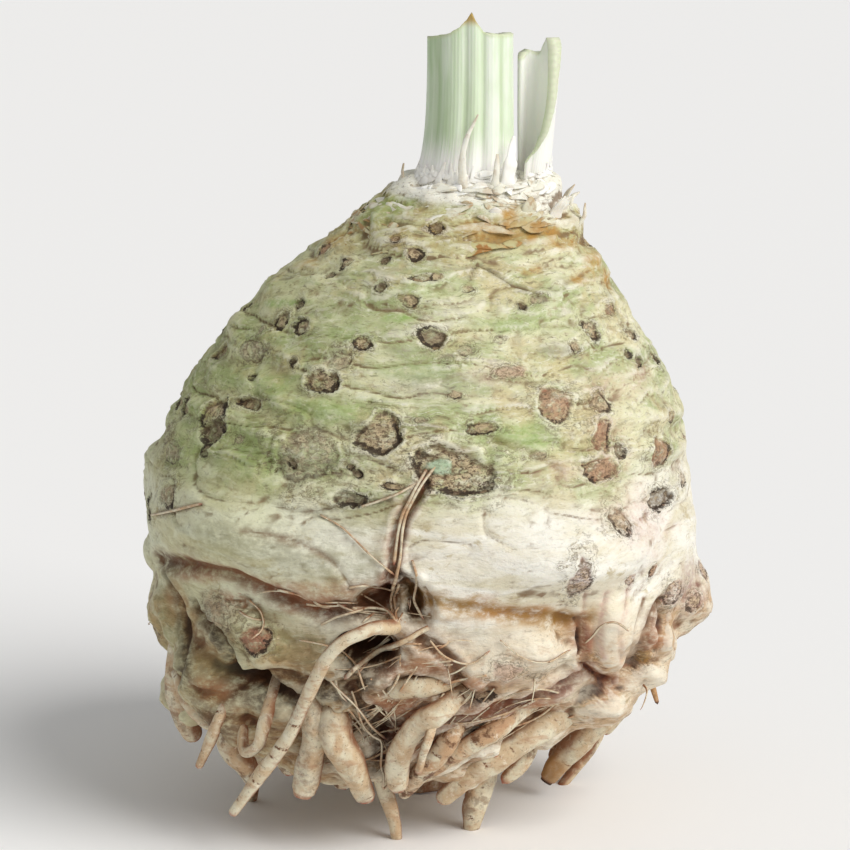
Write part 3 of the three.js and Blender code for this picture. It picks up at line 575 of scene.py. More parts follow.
def place_scars():
    """Every scar as a place on the skin with its own across, up and outward directions."""
    places = on_skin([(across, down) for across, down, *_ in PHOTO_SCARS])
    outward = skin_normals(places)
    scars = []
    for (across, down, reach_across, reach_down, kind), place, normal in zip(PHOTO_SCARS, places, outward):
        facing = max(0.8, float(normal @ BACK))
        side = math.sqrt(max(0.2, 1 - float(normal @ RIGHT) ** 2))
        scars.append(scar(place, normal, reach_across / PIXELS_PER_MM / side,
                          reach_down / PIXELS_PER_MM / facing, kind, len(scars)))
    first_turn, arc = SIDE_SCAR_ARC
    middle, spread = SIDE_SCAR_LEVEL
    for index in range(SIDE_SCAR_COUNT):
        turn = math.radians((index * SIDE_SCAR_TURN_STEP) % arc + first_turn + 4 * scatter(index, 31))
        spot, _ = spot_on_skin(turn, middle + spread * scatter(index, 32))
        size = 1.7 + 1.3 * scatter(index, 33) ** 2 + 0.8 * scatter(index, 34)
        kind = SIDE_SCAR_KINDS[index % len(SIDE_SCAR_KINDS)]
        scars.append(scar(spot, skin_normals(spot[None])[0], size * 1.15, size * 0.85, kind, index + 500))
    return scars


def scar(place, normal, reach_across, reach_up, kind, seed):
    across = unit(np.cross([0.0, 0.0, 1.0], normal))
    dark_side = math.radians(-90 + 80 * scatter(seed, 35))
    return dict(place=place, across=across, up=np.cross(normal, across), reach=(reach_across, reach_up),
                kind=kind, seed=seed, dark_side=dark_side)


def scar_share(points, mark, ragged=0.3):
    """The points near a scar, how far out in it each is, with 1 on its rim, and how much on its dark side."""
    span = SCAR_SPAN * max(mark["reach"])
    offset = points - mark["place"]
    near = np.flatnonzero(np.einsum("ij,ij->i", offset, offset) < span * span)
    offset = offset[near]
    across = offset @ mark["across"] / mark["reach"][0]
    rise = offset @ mark["up"] / mark["reach"][1]
    size = min(mark["reach"])
    seed = mark["seed"] % 97
    jag = grain(points[near], size * 0.9, seed) + 0.5 * grain(points[near], size * 0.35, seed + 1)
    share = np.hypot(across, rise) * (1 + ragged * jag)
    crescent = 0.5 + 0.5 * np.cos(np.arctan2(rise, across) - mark["dark_side"])
    return near, share, crescent


def line_distances(points, line_points):
    """The distance from each point to a run of points, only worked out near it."""
    low, high = line_points.min(axis=0) - LINE_MARGIN, line_points.max(axis=0) + LINE_MARGIN
    near = np.flatnonzero(np.all((points > low) & (points < high), axis=1))
    distance = np.full(len(near), 1e9)
    for start, end in zip(line_points[:-1], line_points[1:]):
        run = end - start
        share = np.clip((points[near] - start) @ run / max(run @ run, 1e-9), 0, 1)
        distance = np.minimum(distance, np.linalg.norm(points[near] - start - share[:, None] * run, axis=1))
    return near, distance


def place_lines():
    """The creases and stained belts as runs of points on the skin."""
    lines = []
    for width, depth, stain, tint, pixels in PHOTO_LINES:
        run = catmull_rom([(across, down, 0) for across, down in pixels], 8)
        lines.append((width, depth, stain, tint, on_skin(run[:, :2])))
    return lines


UPPER_START = (66, 80)
UNDER_END = (44, 58)


def zone(points):
    """How much each point belongs to the ringed upper body, and how much to the knotted underside."""
    wander = 3 * grain(points, 22, 3)
    upper = smoothstep(*UPPER_START, points[:, 2] + wander)
    under = 1 - smoothstep(*UNDER_END, points[:, 2] + wander)
    return upper, under


CROWN_START = (124, 132)
TERRACE_SPACING = 4.6
CROWN_LAYER_SPACING = 4.2
FIBRE_ALONG = -RIGHT * math.cos(math.radians(28)) - UP * math.sin(math.radians(28))
FIBRE_OVER = np.cross(FIBRE_ALONG, BACK)


def fine_relief(points, scars, lines):
    """The height that is added to the smooth skin, in millimetres."""
    upper, under = zone(points)
    x, y, z = points.T

    # Level grain above, knots and lumps below.
    sway = np.stack([x, y, z + 2.2 * grain(points, 17, 5) + 0.8 * grain(points, 6, 6)], axis=1)
    relief = upper * (0.45 * grain(sway, (15, 15, 3.4), 7) + 0.22 * grain(sway, (7, 7, 2), 8))
    relief += upper * 0.35 * np.abs(grain(sway, (24, 24, 4.6), 9))
    relief += (1 - upper) * (0.4 * grain(sway, (18, 18, 6), 10) + 0.16 * grain(sway, (8, 8, 2.4), 11))
    relief += under * (1.1 * grain(points, 7, 12) - 0.9 * np.abs(grain(points, 5, 13))
                       + 0.3 * grain(points, 2.2, 14))
    relief += 0.35 * grain(points, 5.5, 15) * (0.4 + 0.6 * upper) + 0.1 * grain(points, 2, 16)

    # Low terraces with a sharp lip on the upper body.
    terrace = z + 2.6 * grain(points, (16, 16, 9), 26) + 0.9 * grain(points, (5, 5, 3), 27)
    terrace = terrace / TERRACE_SPACING
    step = terrace - np.floor(terrace)
    lip = (1 - step) ** 2 - smoothstep(0.9, 1.0, step) * 0.3
    relief += upper * 0.55 * lip * np.clip(0.35 + 1.5 * grain(points, (13, 13, 6), 28), 0, 1)

    # Matted fibres low in the middle of the front.
    along = points @ FIBRE_ALONG
    strands = np.stack([points @ FIBRE_OVER, along / 9, points @ BACK / 3], axis=1)
    matted = (1 - smoothstep(40, 47, z)) * smoothstep(-26, -18, x)
    matted = matted * (1 - smoothstep(26, 34, x)) * smoothstep(14, 24, -y)
    relief += matted * (0.75 * grain(strands, 1.5, 29) + 0.4 * grain(strands, 0.8, 30))

    # Torn layers on the crown.
    crown = smoothstep(*CROWN_START, z)
    relief += crown * (0.55 * grain(sway, (7, 7, 1.5), 17) + 0.4 * grain(points, (2.4, 2.4, 1.1), 18))
    torn = (z + 2.4 * grain(points, (7, 7, 30), 31)) / CROWN_LAYER_SPACING
    relief += crown * 0.8 * (1 - (torn - np.floor(torn))) * (0.6 + 0.4 * grain(points, 5, 32))

    # Thin creases, then the photograph's lines and scars.
    creased = 1 - np.abs(grain(sway, (20, 20, 5), 19)) * 7
    relief -= np.clip(creased, 0, 1) * (0.3 * upper + 0.25)
    for width, depth, _, _, run in lines:
        near, distance = line_distances(points, run)
        distance = distance * (1 + 0.35 * grain(points[near], 3, 20))
        relief[near] -= depth * np.exp(-(distance / width * 1.6) ** 2)
        relief[near] += 0.3 * depth * np.exp(-((distance - width) / width * 1.6) ** 2)
    for mark in scars:
        near, share, crescent = scar_share(points, mark)
        kind = SCAR_KINDS[mark["kind"]]
        size = min(min(mark["reach"]), 4.0)
        inside = 1 - smoothstep(0.72, 0.95, share)
        rim = np.exp(-((share - 1.12) / 0.2) ** 2)
        groove = np.exp(-((share - 0.86) / 0.11) ** 2) * kind["edge"] * (0.35 + 0.65 * crescent)
        rings = np.sin((share - 1) * SCAR_RINGS) * (0.4 + 0.6 * smoothstep(0.8, 1.15, share))
        rings = rings * (1 - smoothstep(1.4, 2.0, share)) * (0.5 + grain(points[near], 4, 25))
        rough = 0.35 * grain(points[near], max(size * 0.25, 0.8), 21)
        relief[near] = relief[near] * (1 - 0.7 * inside) + rim * kind["rim"] * min(1, size / 2.4)
        floor = kind["floor"] * min(1, size / 2.2) + rough
        relief[near] += inside * floor - 0.6 * groove * min(1, size / 2)
        relief[near] += 0.13 * rings * kind["rings"] * min(1, size / 2.5)
    return relief


# Meshes

def new_piece(name, points, faces, material):
    """A smooth mesh piece from points in millimetres, which rides on the one body."""
    mesh = bpy.data.meshes.new(name)
    mesh.from_pydata((np.asarray(points) * TO_METRES).tolist(), [], faces)
    mesh.materials.append(material)
    mesh.shade_smooth()
    piece = placed(name, mesh)
    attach(piece, "root")
    return piece


def ring_faces(count, sides):
    """The four-sided faces of a tube of count rings."""
    return [(row * sides + col, row * sides + (col + 1) % sides,
             (row + 1) * sides + (col + 1) % sides, (row + 1) * sides + col)
            for row in range(count - 1) for col in range(sides)]


def joined(parts):
    """The points and faces of several parts as one."""
    points, faces, start = [], [], 0
    for spots, part_faces in parts:
        faces += [tuple(start + corner for corner in face) for face in part_faces]
        points.append(spots)
        start += len(spots)
    return np.vstack(points), faces


def points_of(mesh):
    flat = np.empty(len(mesh.vertices) * 3)
    mesh.vertices.foreach_get("co", flat)
    return flat.reshape(-1, 3)


def write_numbers(mesh, name, values):
    layer = mesh.attributes.get(name) or mesh.attributes.new(name, "FLOAT", "POINT")
    layer.data.foreach_set("value", np.ascontiguousarray(values, dtype=np.float32))


SKIN_SUBDIVISIONS = 8
SKIN_TRIANGLES = 192000
JUMP_ROUNDS = 4
SMALL_DIP_ROUNDS = 6
WIDE_DIP_ROUNDS = 60


def spread_values(mesh, values, rounds):
    """Values blurred over the mesh, each round mixing a vertex with its neighbours."""
    edges = np.empty(len(mesh.edges) * 2, int)
    mesh.edges.foreach_get("vertices", edges)
    starts, ends = edges.reshape(-1, 2).T
    count = np.bincount(starts, minlength=len(values)) + np.bincount(ends, minlength=len(values))
    for _ in range(rounds):
        total = np.bincount(starts, values[ends], len(values))
        total = total + np.bincount(ends, values[starts], len(values))
        values = 0.5 * values + 0.5 * total / count
    return values


def soften_jumps(mesh, reach):
    """The reach of the skin with its steps smoothed, so that the rim of a deep hollow isn't jagged."""
    for _ in range(JUMP_ROUNDS):
        around = spread_values(mesh, reach, 2)
        share = smoothstep(0.25, 0.9, np.abs(around - reach))
        share = np.minimum(1, 2 * spread_values(mesh, share, 2))
        reach = reach + (around - reach) * share
    return reach


def make_skin(scars, lines, material):
    """The body's skin: a fine ball pushed out from the heart to the skin and its relief, then thinned."""
    ball = bmesh.new()
    bmesh.ops.create_icosphere(ball, subdivisions=SKIN_SUBDIVISIONS, radius=1.0)
    mesh = bpy.data.meshes.new("root_skin")
    ball.to_mesh(mesh)
    ball.free()
    toward = unit_rows(points_of(mesh))
    reach = first_inside(HEART, toward, FARTHEST_SKIN, NEAREST_SKIN, step=-1.5)
    reach = soften_jumps(mesh, reach)
    smooth = HEART + toward * reach[:, None]
    points = smooth + toward * fine_relief(smooth, scars, lines)[:, None]
    mesh.vertices.foreach_set("co", (points * TO_METRES).ravel())
    mesh.materials.append(material)
    piece = placed("root_skin", mesh)
    fewer = piece.modifiers.new("fewer", "DECIMATE")
    fewer.ratio = SKIN_TRIANGLES / len(mesh.polygons)
    shown = piece.evaluated_get(bpy.context.evaluated_depsgraph_get())
    light = bpy.data.meshes.new_from_object(shown)
    piece.modifiers.remove(fewer)
    piece.data = light
    light.shade_smooth()
    bpy.data.meshes.remove(mesh)
    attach(piece, "root")
    return piece


def photo_stains_and_shade(points, tints):
    """How strongly each of the photograph's stains and patches of painted shade in these tints covers each
    point.
    """
    wander = 1 + 0.4 * grain(points, (7, 7, 3), 23)
    for tint in tints:
        rows = PHOTO_STAINS_AND_SHADE.get(tint, [])
        centres = on_skin([row[:2] for row in rows]) if rows else []
        for (_, _, reach_across, reach_down, strength), centre in zip(rows, centres):
            offset = points - centre
            share = np.sqrt((offset @ RIGHT * PIXELS_PER_MM / reach_across) ** 2
                            + (offset @ UP * PIXELS_PER_MM / reach_down) ** 2
                            + (offset @ BACK / max(reach_across, reach_down) * 2) ** 2)
            yield tint, strength * (1 - smoothstep(0.3, 1.3, share * wander))


def stain_and_shade_skin(piece, scars, lines):
    """Writes how stained each point is, one layer for each tint, with the scars and the creases, and how deep
    each point lies in a small and a wide dip, which the skin darkens as painted shade. A crease's dark core
    is painted shade too.
    """
    mesh = piece.data
    points = points_of(mesh) / TO_METRES
    tint_layers = {tint: np.zeros(len(points)) for tint in TINTS}
    scar_out = np.full(len(points), 3.0)
    edge = np.zeros(len(points))
    mottle = np.zeros(len(points))
    for mark in scars:
        near, share, crescent = scar_share(points, mark)
        kind = SCAR_KINDS[mark["kind"]]
        closer = (share < scar_out[near]) | (share < 1)
        near, share, crescent = near[closer], share[closer], crescent[closer]
        scar_out[near] = share
        edge[near] = kind["edge"] * (0.25 + 0.75 * crescent)
        mottle[near] = kind["mottle"]
        stain = kind["stain"] * (1 - smoothstep(0.75, 1.05, share))
        tint_layers[kind["tint"]][near] = np.maximum(tint_layers[kind["tint"]][near], stain)
    for width, depth, stain, tint, run in lines:
        near, distance = line_distances(points, run)
        distance = distance * (1 + 0.4 * grain(points[near], 4, 22))
        tint_layers[tint][near] = np.maximum(tint_layers[tint][near], stain * np.exp(-(distance / width) ** 2))
        # Each crease gets a dark core, darker the deeper it is: painted shade in the crease.
        core = min(1.0, 0.45 * depth) * np.exp(-(distance / (0.5 * width)) ** 2)
        tint_layers["dark"][near] = np.maximum(tint_layers["dark"][near], core)
    for tint, strength in photo_stains_and_shade(points, TINTS):
        tint_layers[tint] = np.maximum(tint_layers[tint], strength)
    # How far each point lies below the blurred skin around it, in small and wide dips: the skin material
    # paints shade there.
    reach = np.linalg.norm(points - HEART, axis=1)
    layers = dict(tint_layers, scar_out=scar_out, scar_edge=edge, scar_mottle=mottle,
                  small_dip=spread_values(mesh, reach, SMALL_DIP_ROUNDS) - reach,
                  wide_dip=spread_values(mesh, reach, WIDE_DIP_ROUNDS) - reach)
    for name, values in layers.items():
        write_numbers(mesh, name, values)


# Tubes: roots, hairs and slivers

def frames_along(centres):
    """For each point of a run, two directions square to it that don't twist."""
    along = unit_rows(np.gradient(centres, axis=0))
    side = unit(np.cross(along[0], (0.3, 1.0, 0.2)))
    sides = []
    for direction in along:
        side = unit(side - direction * (side @ direction))
        sides.append(side)
    sides = np.array(sides)
    return sides, np.cross(along, sides), along


def even_run(route, step):
    """A smooth run of x, y, z and radius along a route, with even steps."""
    dense = catmull_rom(route, 24)
    travelled = np.concatenate([[0], np.cumsum(np.linalg.norm(np.diff(dense[:, :3], axis=0), axis=1))])
    count = max(4, int(travelled[-1] / step))
    marks = np.linspace(0, travelled[-1], count)
    return np.stack([np.interp(marks, travelled, dense[:, column]) for column in range(4)], axis=1), marks


CREASE_SHARPNESS = 18


def tube_points(route, sides, step, seed, knobbly=0.1, creases=0.05, blunt=False):
    """A closed wrinkled tube: its points and faces, and how far along and how folded each point is."""
    run, marks = even_run(route, step)
    centres, radius = run[:, :3], np.maximum(run[:, 3], 0.12)
    length = marks[-1]
    left = np.clip((length - marks) / np.maximum(radius, 0.2), 0, 1)
    closing = np.sqrt(np.clip(1 - (1 - left) ** 2, 0, 1))
    closing = np.where(left < 0.35, np.maximum(closing, 0.82), 1) if blunt else np.maximum(closing, 0.25)
    first, second, along = frames_along(centres)
    turns = np.linspace(0, 2 * math.pi, sides, endpoint=False)
    ring = np.cos(turns)[None, :, None] * first[:, None] + np.sin(turns)[None, :, None] * second[:, None]
    flat = (centres[:, None] + ring * radius[:, None, None]).reshape(-1, 3)
    shape = (len(marks), sides)
    marks_all = np.repeat(marks, sides)
    round_about = [np.tile(np.cos(turns), len(marks)) * 1.7, np.tile(np.sin(turns), len(marks)) * 1.7]
    ridges = 0.11 * grain(np.column_stack([*round_about, marks_all / 8]), 1.0, seed + 5)
    swell = knobbly * (grain(flat, 5.5, seed) + 0.5 * grain(flat, 2.4, seed + 1))
    crease_marks = marks_all + 0.9 * grain(flat, 3, seed + 2)
    folded = np.clip(2.4 * grain(flat, 3, seed + 3) - 0.5, 0, 1)
    folds = np.abs(np.sin(crease_marks * 0.9 + seed)) ** CREASE_SHARPNESS * folded
    scale = (1 + ridges + swell - creases * folds).reshape(shape) * closing[:, None]
    skin = centres[:, None] + ring * (radius[:, None] * scale)[:, :, None]
    points = np.vstack([skin.reshape(-1, 3), centres[:1], centres[-1:] + along[-1:] * radius[-1] * 0.2])
    faces = ring_faces(len(marks), sides)
    start = len(marks) * sides
    last = start - sides
    faces += [(start, (col + 1) % sides, col) for col in range(sides)]
    faces += [(start + 1, last + col, last + (col + 1) % sides) for col in range(sides)]
    return points, faces, np.concatenate([marks_all, [0, length]]), np.concatenate([folds, [0, 0]])


# How warm and how dirty each front root is.
ROOT_LOOKS = {
    "front_long": (0.15, 0.0), "front_foot": (0.5, 0.1), "middle_finger": (0.3, 0.2),
    "left_finger": (0.45, 0.35), "left_rear_finger": (0.6, 0.7), "far_left_finger": (0.5, 0.7),
    "hook": (0.35, 0.1), "left_thin": (0.4, 0.2), "left_corner": (0.45, 0.5), "left_cross": (0.4, 0.3),
    "left_foot": (0.4, 0.6), "bent": (0.4, 0.2), "long_right": (0.2, 0.12), "right_foot": (0.5, 0.5),
    "right_finger": (0.3, 0.3), "thorn": (0.6, 0.4), "tangle": (0.5, 0.3), "gap_finger": (0.7, 0.9),
    "bridge": (0.2, 0.05), "inner_right": (0.6, 0.7), "under_bent": (0.8, 0.9), "under_long": (0.8, 0.9),
}
ROOT_SIDES = 28
THIN_ROOT_SIDES = 18
THIN_ROOT_RADIUS = 1.7
ROOT_STEP = 0.45
UNDERSIDE_LIFT = 0.35

# Roots with an ochre tip and its length, roots out in the open and how much, and roots cut blunt.
OCHRE_TIPS = {"right_finger": 7.5, "thorn": 5.0}
# Being out in the open lessens the soil and painted shade on a root's side towards the body.
OPEN_ROOTS = {"right_finger": 0.55, "thorn": 0.3}
BLUNT_ROOTS = {"bent", "left_finger", "right_finger", "right_foot", "left_rear_finger", "middle_finger"}


def bark_layers(piece, distance, left, folds, warmth, dirt, ochre, in_the_open=0.0):
    """Writes what the bark's colours follow. The outer layer says how much it faces away from the body; the
    side that faces in is browned with soil and painted shade.
    """
    mesh = piece.data
    normals = np.empty(len(mesh.vertices) * 3)
    mesh.vertices.foreach_get("normal", normals)
    normals = normals.reshape(-1, 3)
    away = points_of(mesh) * [1, 1, 0]
    away = away / np.maximum(np.linalg.norm(away, axis=1), 1e-6)[:, None] - [0, 0, UNDERSIDE_LIFT]
    outer = np.einsum("ij,ij->i", normals, away) + in_the_open
    layers = dict(along=distance, left=left, fold=folds, warmth=warmth, dirt=dirt, ochre=ochre, outer=outer)
    for name, values in layers.items():
        write_numbers(mesh, name, np.broadcast_to(values, len(outer)))


def make_root(name, route, seed, warmth, dirt, material):
    sides = ROOT_SIDES if max(row[3] for row in route) > THIN_ROOT_RADIUS else THIN_ROOT_SIDES
    blunt = name in BLUNT_ROOTS
    points, faces, distance, folds = tube_points(route, sides, ROOT_STEP, seed, knobbly=0.11,
                                                 creases=0.07, blunt=blunt)
    points[:, 2] = np.maximum(points[:, 2], 0)
    piece = new_piece("root_" + name, points, faces, material)
    left = distance.max() - distance
    length = OCHRE_TIPS.get(name, 0.0)
    ochre = 1 - smoothstep(length - 2, length + 2, left) if length else 0.0
    bark_layers(piece, distance, left, folds, warmth, dirt, ochre, OPEN_ROOTS.get(name, 0.0))


def back_route(index):
    """The run of a seeded root at the back, out over a bulge and down."""
    turn = math.radians(BACK_ROOT_TURN_STEP * index + 3 * scatter(index, 8))
    outward = np.array([math.cos(turn), math.sin(turn)])
    sideways = np.array([-outward[1], outward[0]])
    to_floor = index % BACK_ROOT_FOOT_EVERY == 2
    sway = BACK_ROOT_SWAY * scatter(index, 9)
    start = 30 + 5 * scatter(index, 16)
    drop = 20 + 5 * scatter(index, 17)
    radius = 2.3 + 0.8 * scatter(index, 18)
    half, across = profile_at(start)
    out = half * (0.66 + 0.16 * scatter(index, 19))
    end = -1 if to_floor else max(start - drop, LOWEST_LOOSE_TIP)

    def place(share, bulge, size):
        spot = outward * (out + bulge) + sideways * sway * share
        return (spot[0] + across, spot[1] * DEPTH_SHARE, start + (end - start) * share, size)
    return [place(0, 0, radius), place(0.3, BACK_ROOT_BULGE, radius),
            place(0.65, BACK_ROOT_BULGE * 0.8, radius * 0.85),
            place(1, -2 if to_floor else BACK_ROOT_BULGE * 0.3, radius * 0.5)]


def make_roots(material):
    """The front roots, the seeded ones of the back, and the cut taproot."""
    for seed, (name, route) in enumerate(FRONT_ROOTS.items()):
        make_root(name, route, seed, *ROOT_LOOKS[name], material)
    for index in range(BACK_ROOT_COUNT):
        warmth = 0.5 + 0.3 * scatter(index, 41)
        make_root(f"back_{index:02d}", back_route(index), 60 + index, warmth, dirt=0.5, material=material)
    points, faces, distance, folds = tube_points(TAPROOT, sides=64, step=0.6, seed=91, knobbly=0.06,
                                                 creases=0.05, blunt=True)
    points[:, 2] = np.maximum(points[:, 2], 0)
    tap = new_piece("root_taproot", points, faces, material)
    bark_layers(tap, distance, distance.max() - distance, folds, warmth=0.6, dirt=0.6, ochre=0.0)


# Fine hairs by their run in the photograph: radius in mm, how far they stand out in mm, warmth, pixels.
PHOTO_HAIRS = [
    (0.62, 1.2, 0.35, [(429, 628), (400, 642), (372, 660), (345, 678)]),
    (0.35, 1.6, 0.4, [(322, 624), (345, 613), (370, 613), (390, 616), (398, 626)]),
    (0.28, 2.0, 0.9, [(325, 672), (345, 690), (365, 710), (385, 738)]),
    (0.28, 2.4, 0.9, [(352, 690), (362, 715), (375, 735), (380, 755), (378, 775), (385, 790), (392, 800)]),
    (0.25, 1.5, 0.8, [(585, 642), (598, 628), (612, 621), (627, 631)]),
    (0.4, 0.5, 0.8, [(426, 470), (415, 490), (404, 512), (398, 535), (394, 565)]),
    (0.35, 0.7, 0.7, [(438, 462), (424, 482), (410, 505), (403, 530), (400, 560), (392, 590)]),
    (0.3, 0.6, 0.6, [(360, 507), (380, 500), (402, 492), (425, 478)]),
    (0.3, 0.8, 0.9, [(412, 560), (418, 580), (414, 600), (424, 620)]),
    (0.22, 0.7, 0.8, [(320, 515), (345, 530), (372, 556), (395, 575)]),
    (0.22, 0.8, 0.7, [(300, 640), (330, 646), (356, 668), (366, 690)]),
    (0.26, 1.0, 0.9, [(430, 640), (445, 655), (470, 662), (490, 650)]),
    (0.2, 0.8, 0.6, [(500, 640), (520, 655), (545, 660), (570, 650)]),
    (0.22, 0.8, 0.9, [(250, 600), (262, 612), (262, 630), (250, 640)]),
    (0.3, 0.4, 0.5, [(152, 515), (175, 511), (203, 504)]),
]
SEEDED_HAIR_COUNT = 26

# Patches of loose fibres: across, down, spread across, spread down, direction in degrees, length, count. The
# places and lengths are in pixels.
FIBRE_PATCHES = [
    (440, 704, 60, 34, 208, 90, 30), (530, 706, 46, 16, 205, 90, 12), (352, 692, 24, 22, 292, 60, 8),
    (404, 596, 12, 14, 262, 34, 8), (440, 655, 40, 16, 196, 60, 10), (395, 640, 26, 30, 232, 60, 8),
    (300, 606, 80, 8, 350, 60, 8), (280, 590, 90, 8, 340, 60, 6),
]


def make_hairs(material):
    """Thin root hairs: those of the photograph, then seeded ones over the underside."""
    parts = []
    for seed, (radius, stand, warmth, pixels) in enumerate(PHOTO_HAIRS):
        run = catmull_rom([(across, down, 0) for across, down in pixels], 3)
        spots = on_skin(run[:, :2])
        lift = stand * np.sin(np.linspace(0.15, math.pi - 0.3, len(spots)))[:, None]
        spots = spots + skin_normals(spots) * lift
        parts.append((np.column_stack([spots, np.full(len(spots), radius)]), seed, warmth))
    for index in range(SEEDED_HAIR_COUNT):
        turn = math.radians(index * GOLDEN_TURN)
        start, toward = spot_on_skin(turn, 34 + 14 * scatter(index, 51))
        side = unit(np.cross([0, 0, 1.0], toward)) * 5 * scatter(index, 52)
        length = 4 + 3 * scatter(index, 53)
        radius = 0.2 + 0.08 * scatter(index, 54)
        run = [start - toward * 1.5, start + toward * 0.8 + side * 0.3,
               start + toward * 1.1 + side * 0.8 - [0, 0, length * 0.6],
               start + toward * 0.6 + side - [0, 0, length]]
        route = [(*point, radius * (1 - 0.2 * row)) for row, point in enumerate(run)]
        parts.append((route, 200 + index, 0.5 + 0.4 * scatter(index, 55)))
    joined_tubes("root_hairs", parts, sides=6, step=0.8, material=material)


def make_fibres(material):
    """Loose strands in the folds of the underside, laid on the skin along each patch's direction."""
    strands = []
    for patch, row in enumerate(FIBRE_PATCHES):
        across, down, spread_across, spread_down, direction, length, patch_count = row
        for index in range(patch_count):
            seed = 40 * patch + index
            turn = math.radians(direction + 16 * scatter(seed, 71))
            bend = math.radians(50 * scatter(seed, 72))
            reach = length * (0.7 + 0.5 * scatter(seed, 73))
            spot = np.array([across + spread_across * scatter(seed, 74),
                             down + spread_down * scatter(seed, 75)])
            pixels = [spot]
            for step in range(4):
                heading = turn + bend * (step / 3 - 0.5)
                spot = spot + np.array([math.cos(heading), -math.sin(heading)]) * reach / 4
                pixels.append(spot)
            strands.append((seed, pixels))
    count = len(strands[0][1])
    places = on_skin([pixel for _, pixels in strands for pixel in pixels])
    outward = skin_normals(places)
    parts = []
    for index, (seed, _) in enumerate(strands):
        rows = slice(index * count, (index + 1) * count)
        lift = (0.1 + 0.5 * abs(scatter(seed, 77))) * np.sin(np.linspace(0.1, math.pi - 0.1, count))
        widths = (0.22 + 0.1 * scatter(seed, 76)) * np.linspace(1.2, 0.6, count)
        route = np.column_stack([places[rows] + outward[rows] * lift[:, None], widths])
        parts.append((route, seed, 0.9 + 0.4 * scatter(seed, 78)))
    joined_tubes("root_fibres", parts, sides=7, step=0.7, material=material)


def joined_tubes(name, parts, sides, step, material):
    """One piece of many tubes, from the route, seed and warmth of each."""
    tubes = [tube_points(route, sides, step, seed, knobbly=0.15) for route, seed, _ in parts]
    points, faces = joined([tube[:2] for tube in tubes])
    along = np.concatenate([tube[2] for tube in tubes])
    left = np.concatenate([tube[2].max() - tube[2] for tube in tubes])
    fold = np.concatenate([tube[3] for tube in tubes])
    warmth = np.concatenate([np.full(len(tube[2]), part[2]) for tube, part in zip(tubes, parts)])
    piece = new_piece(name, np.maximum(points, [-1e3, -1e3, 0]), faces, material)
    bark_layers(piece, along, left, fold, warmth, dirt=0.35, ochre=0.0)


# The crown's torn scales and slivers

CAD_SCALE_COUNT = 17
RIBBON_COUNT = 340
RIBBON_LEVELS = (128.0, 144.5)
FRILL_COUNTS = {"stalk_front": 120, "stalk_right": 80, "stalk_back": 60}
STANDING_FRILL_EVERY = 6
SCALE_FLATNESS = 0.3
STRIP_FLATNESS = 0.2
SLIVER_FLATNESS = 0.4

# Slivers that stand by the stalks: their run with half widths, and how brown each is.
SLIVERS = [
    ([(8.4, -13.4, 138, 1.3), (8, -14, 147, 0.8), (9, -13.6, 152, 0.55), (11.4, -13.2, 157, 0.2)], 0.26),
    ([(14.6, -13.4, 138, 1.2), (15.2, -14, 143, 0.9), (15.6, -13.8, 148.5, 0.3)], 0.3),
    ([(17.4, -11.8, 138, 2.1), (18.2, -12.2, 145, 1.6), (19.2, -10.6, 152, 0.4)], 0.05),
    ([(-4.6, -2, 136, 1.5), (-5.0, -2.4, 140, 1.2), (-4.6, -2.4, 145, 0.4)], 0.4),
    ([(33.2, -4, 131, 1.6), (34.4, -4.6, 133.5, 1.2), (34.9, -4.8, 136.6, 0.35)], 0.4),
]


def blade_points(route, outward, flatness, seed, sides=10, step=0.35, ragged=0.16):
    """A thin closed blade along a route, wide across the outward direction."""
    run, marks = even_run(route, step)
    centres, width = run[:, :3], run[:, 3]
    along = unit_rows(np.gradient(centres, axis=0))
    across = unit_rows(np.cross(along, outward))
    through = np.cross(across, along)
    turns = np.linspace(0, 2 * math.pi, sides, endpoint=False)
    spread = np.cos(turns)[None, :, None] * across[:, None]
    depth = flatness * np.sin(turns)[None, :, None] * through[:, None]
    wave = grain(centres, 1.6, seed) * ragged
    points = centres[:, None] + (spread + depth) * (width * (1 + wave))[:, None, None]
    curl = 0.35 * grain(points.reshape(-1, 3), 2.2, seed + 3)
    points = points + outward * curl.reshape(len(marks), sides, 1)
    faces = [(second, first, fourth, third)
             for first, second, third, fourth in ring_faces(len(marks), sides)]
    last = (len(marks) - 1) * sides
    faces += [tuple(range(sides)), tuple(last + col for col in reversed(range(sides)))]
    share = np.repeat(marks / marks[-1], sides)
    return points.reshape(-1, 3), faces, share


def crown_foot(out):
    """The height of the crown's slope at a distance out from its middle."""
    beyond = PROFILE_RUN[PROFILE_RUN[:, 1] >= out]
    return min(beyond[-1, 0], CROWN_HEIGHT)


def crown_route(turn, out, lean, length, width):
    """A torn scale that stands on the crown's slope."""
    outward = np.array([math.cos(turn), math.sin(turn), 0.0])
    foot = crown_foot(out)

    def place(push, rise, size):
        return (CROWN_CENTRE[0] + outward[0] * (out + push),
                CROWN_CENTRE[1] + outward[1] * (out + push) * DEPTH_SHARE, foot + rise, size)
    return [place(-1, -3, width), place(0, 0, width), place(lean, length, 0.4)], outward


def slope_point(turn, height, lift):
    """A point just over the crown's slope, or over its flat top once the height is past it."""
    level = min(height, CROWN_HEIGHT)
    half, across = profile_at(level)
    half = half - max(0.0, height - CROWN_HEIGHT) * 1.6
    return np.array([across + half * math.cos(turn), half * DEPTH_SHARE * math.sin(turn), level + lift])


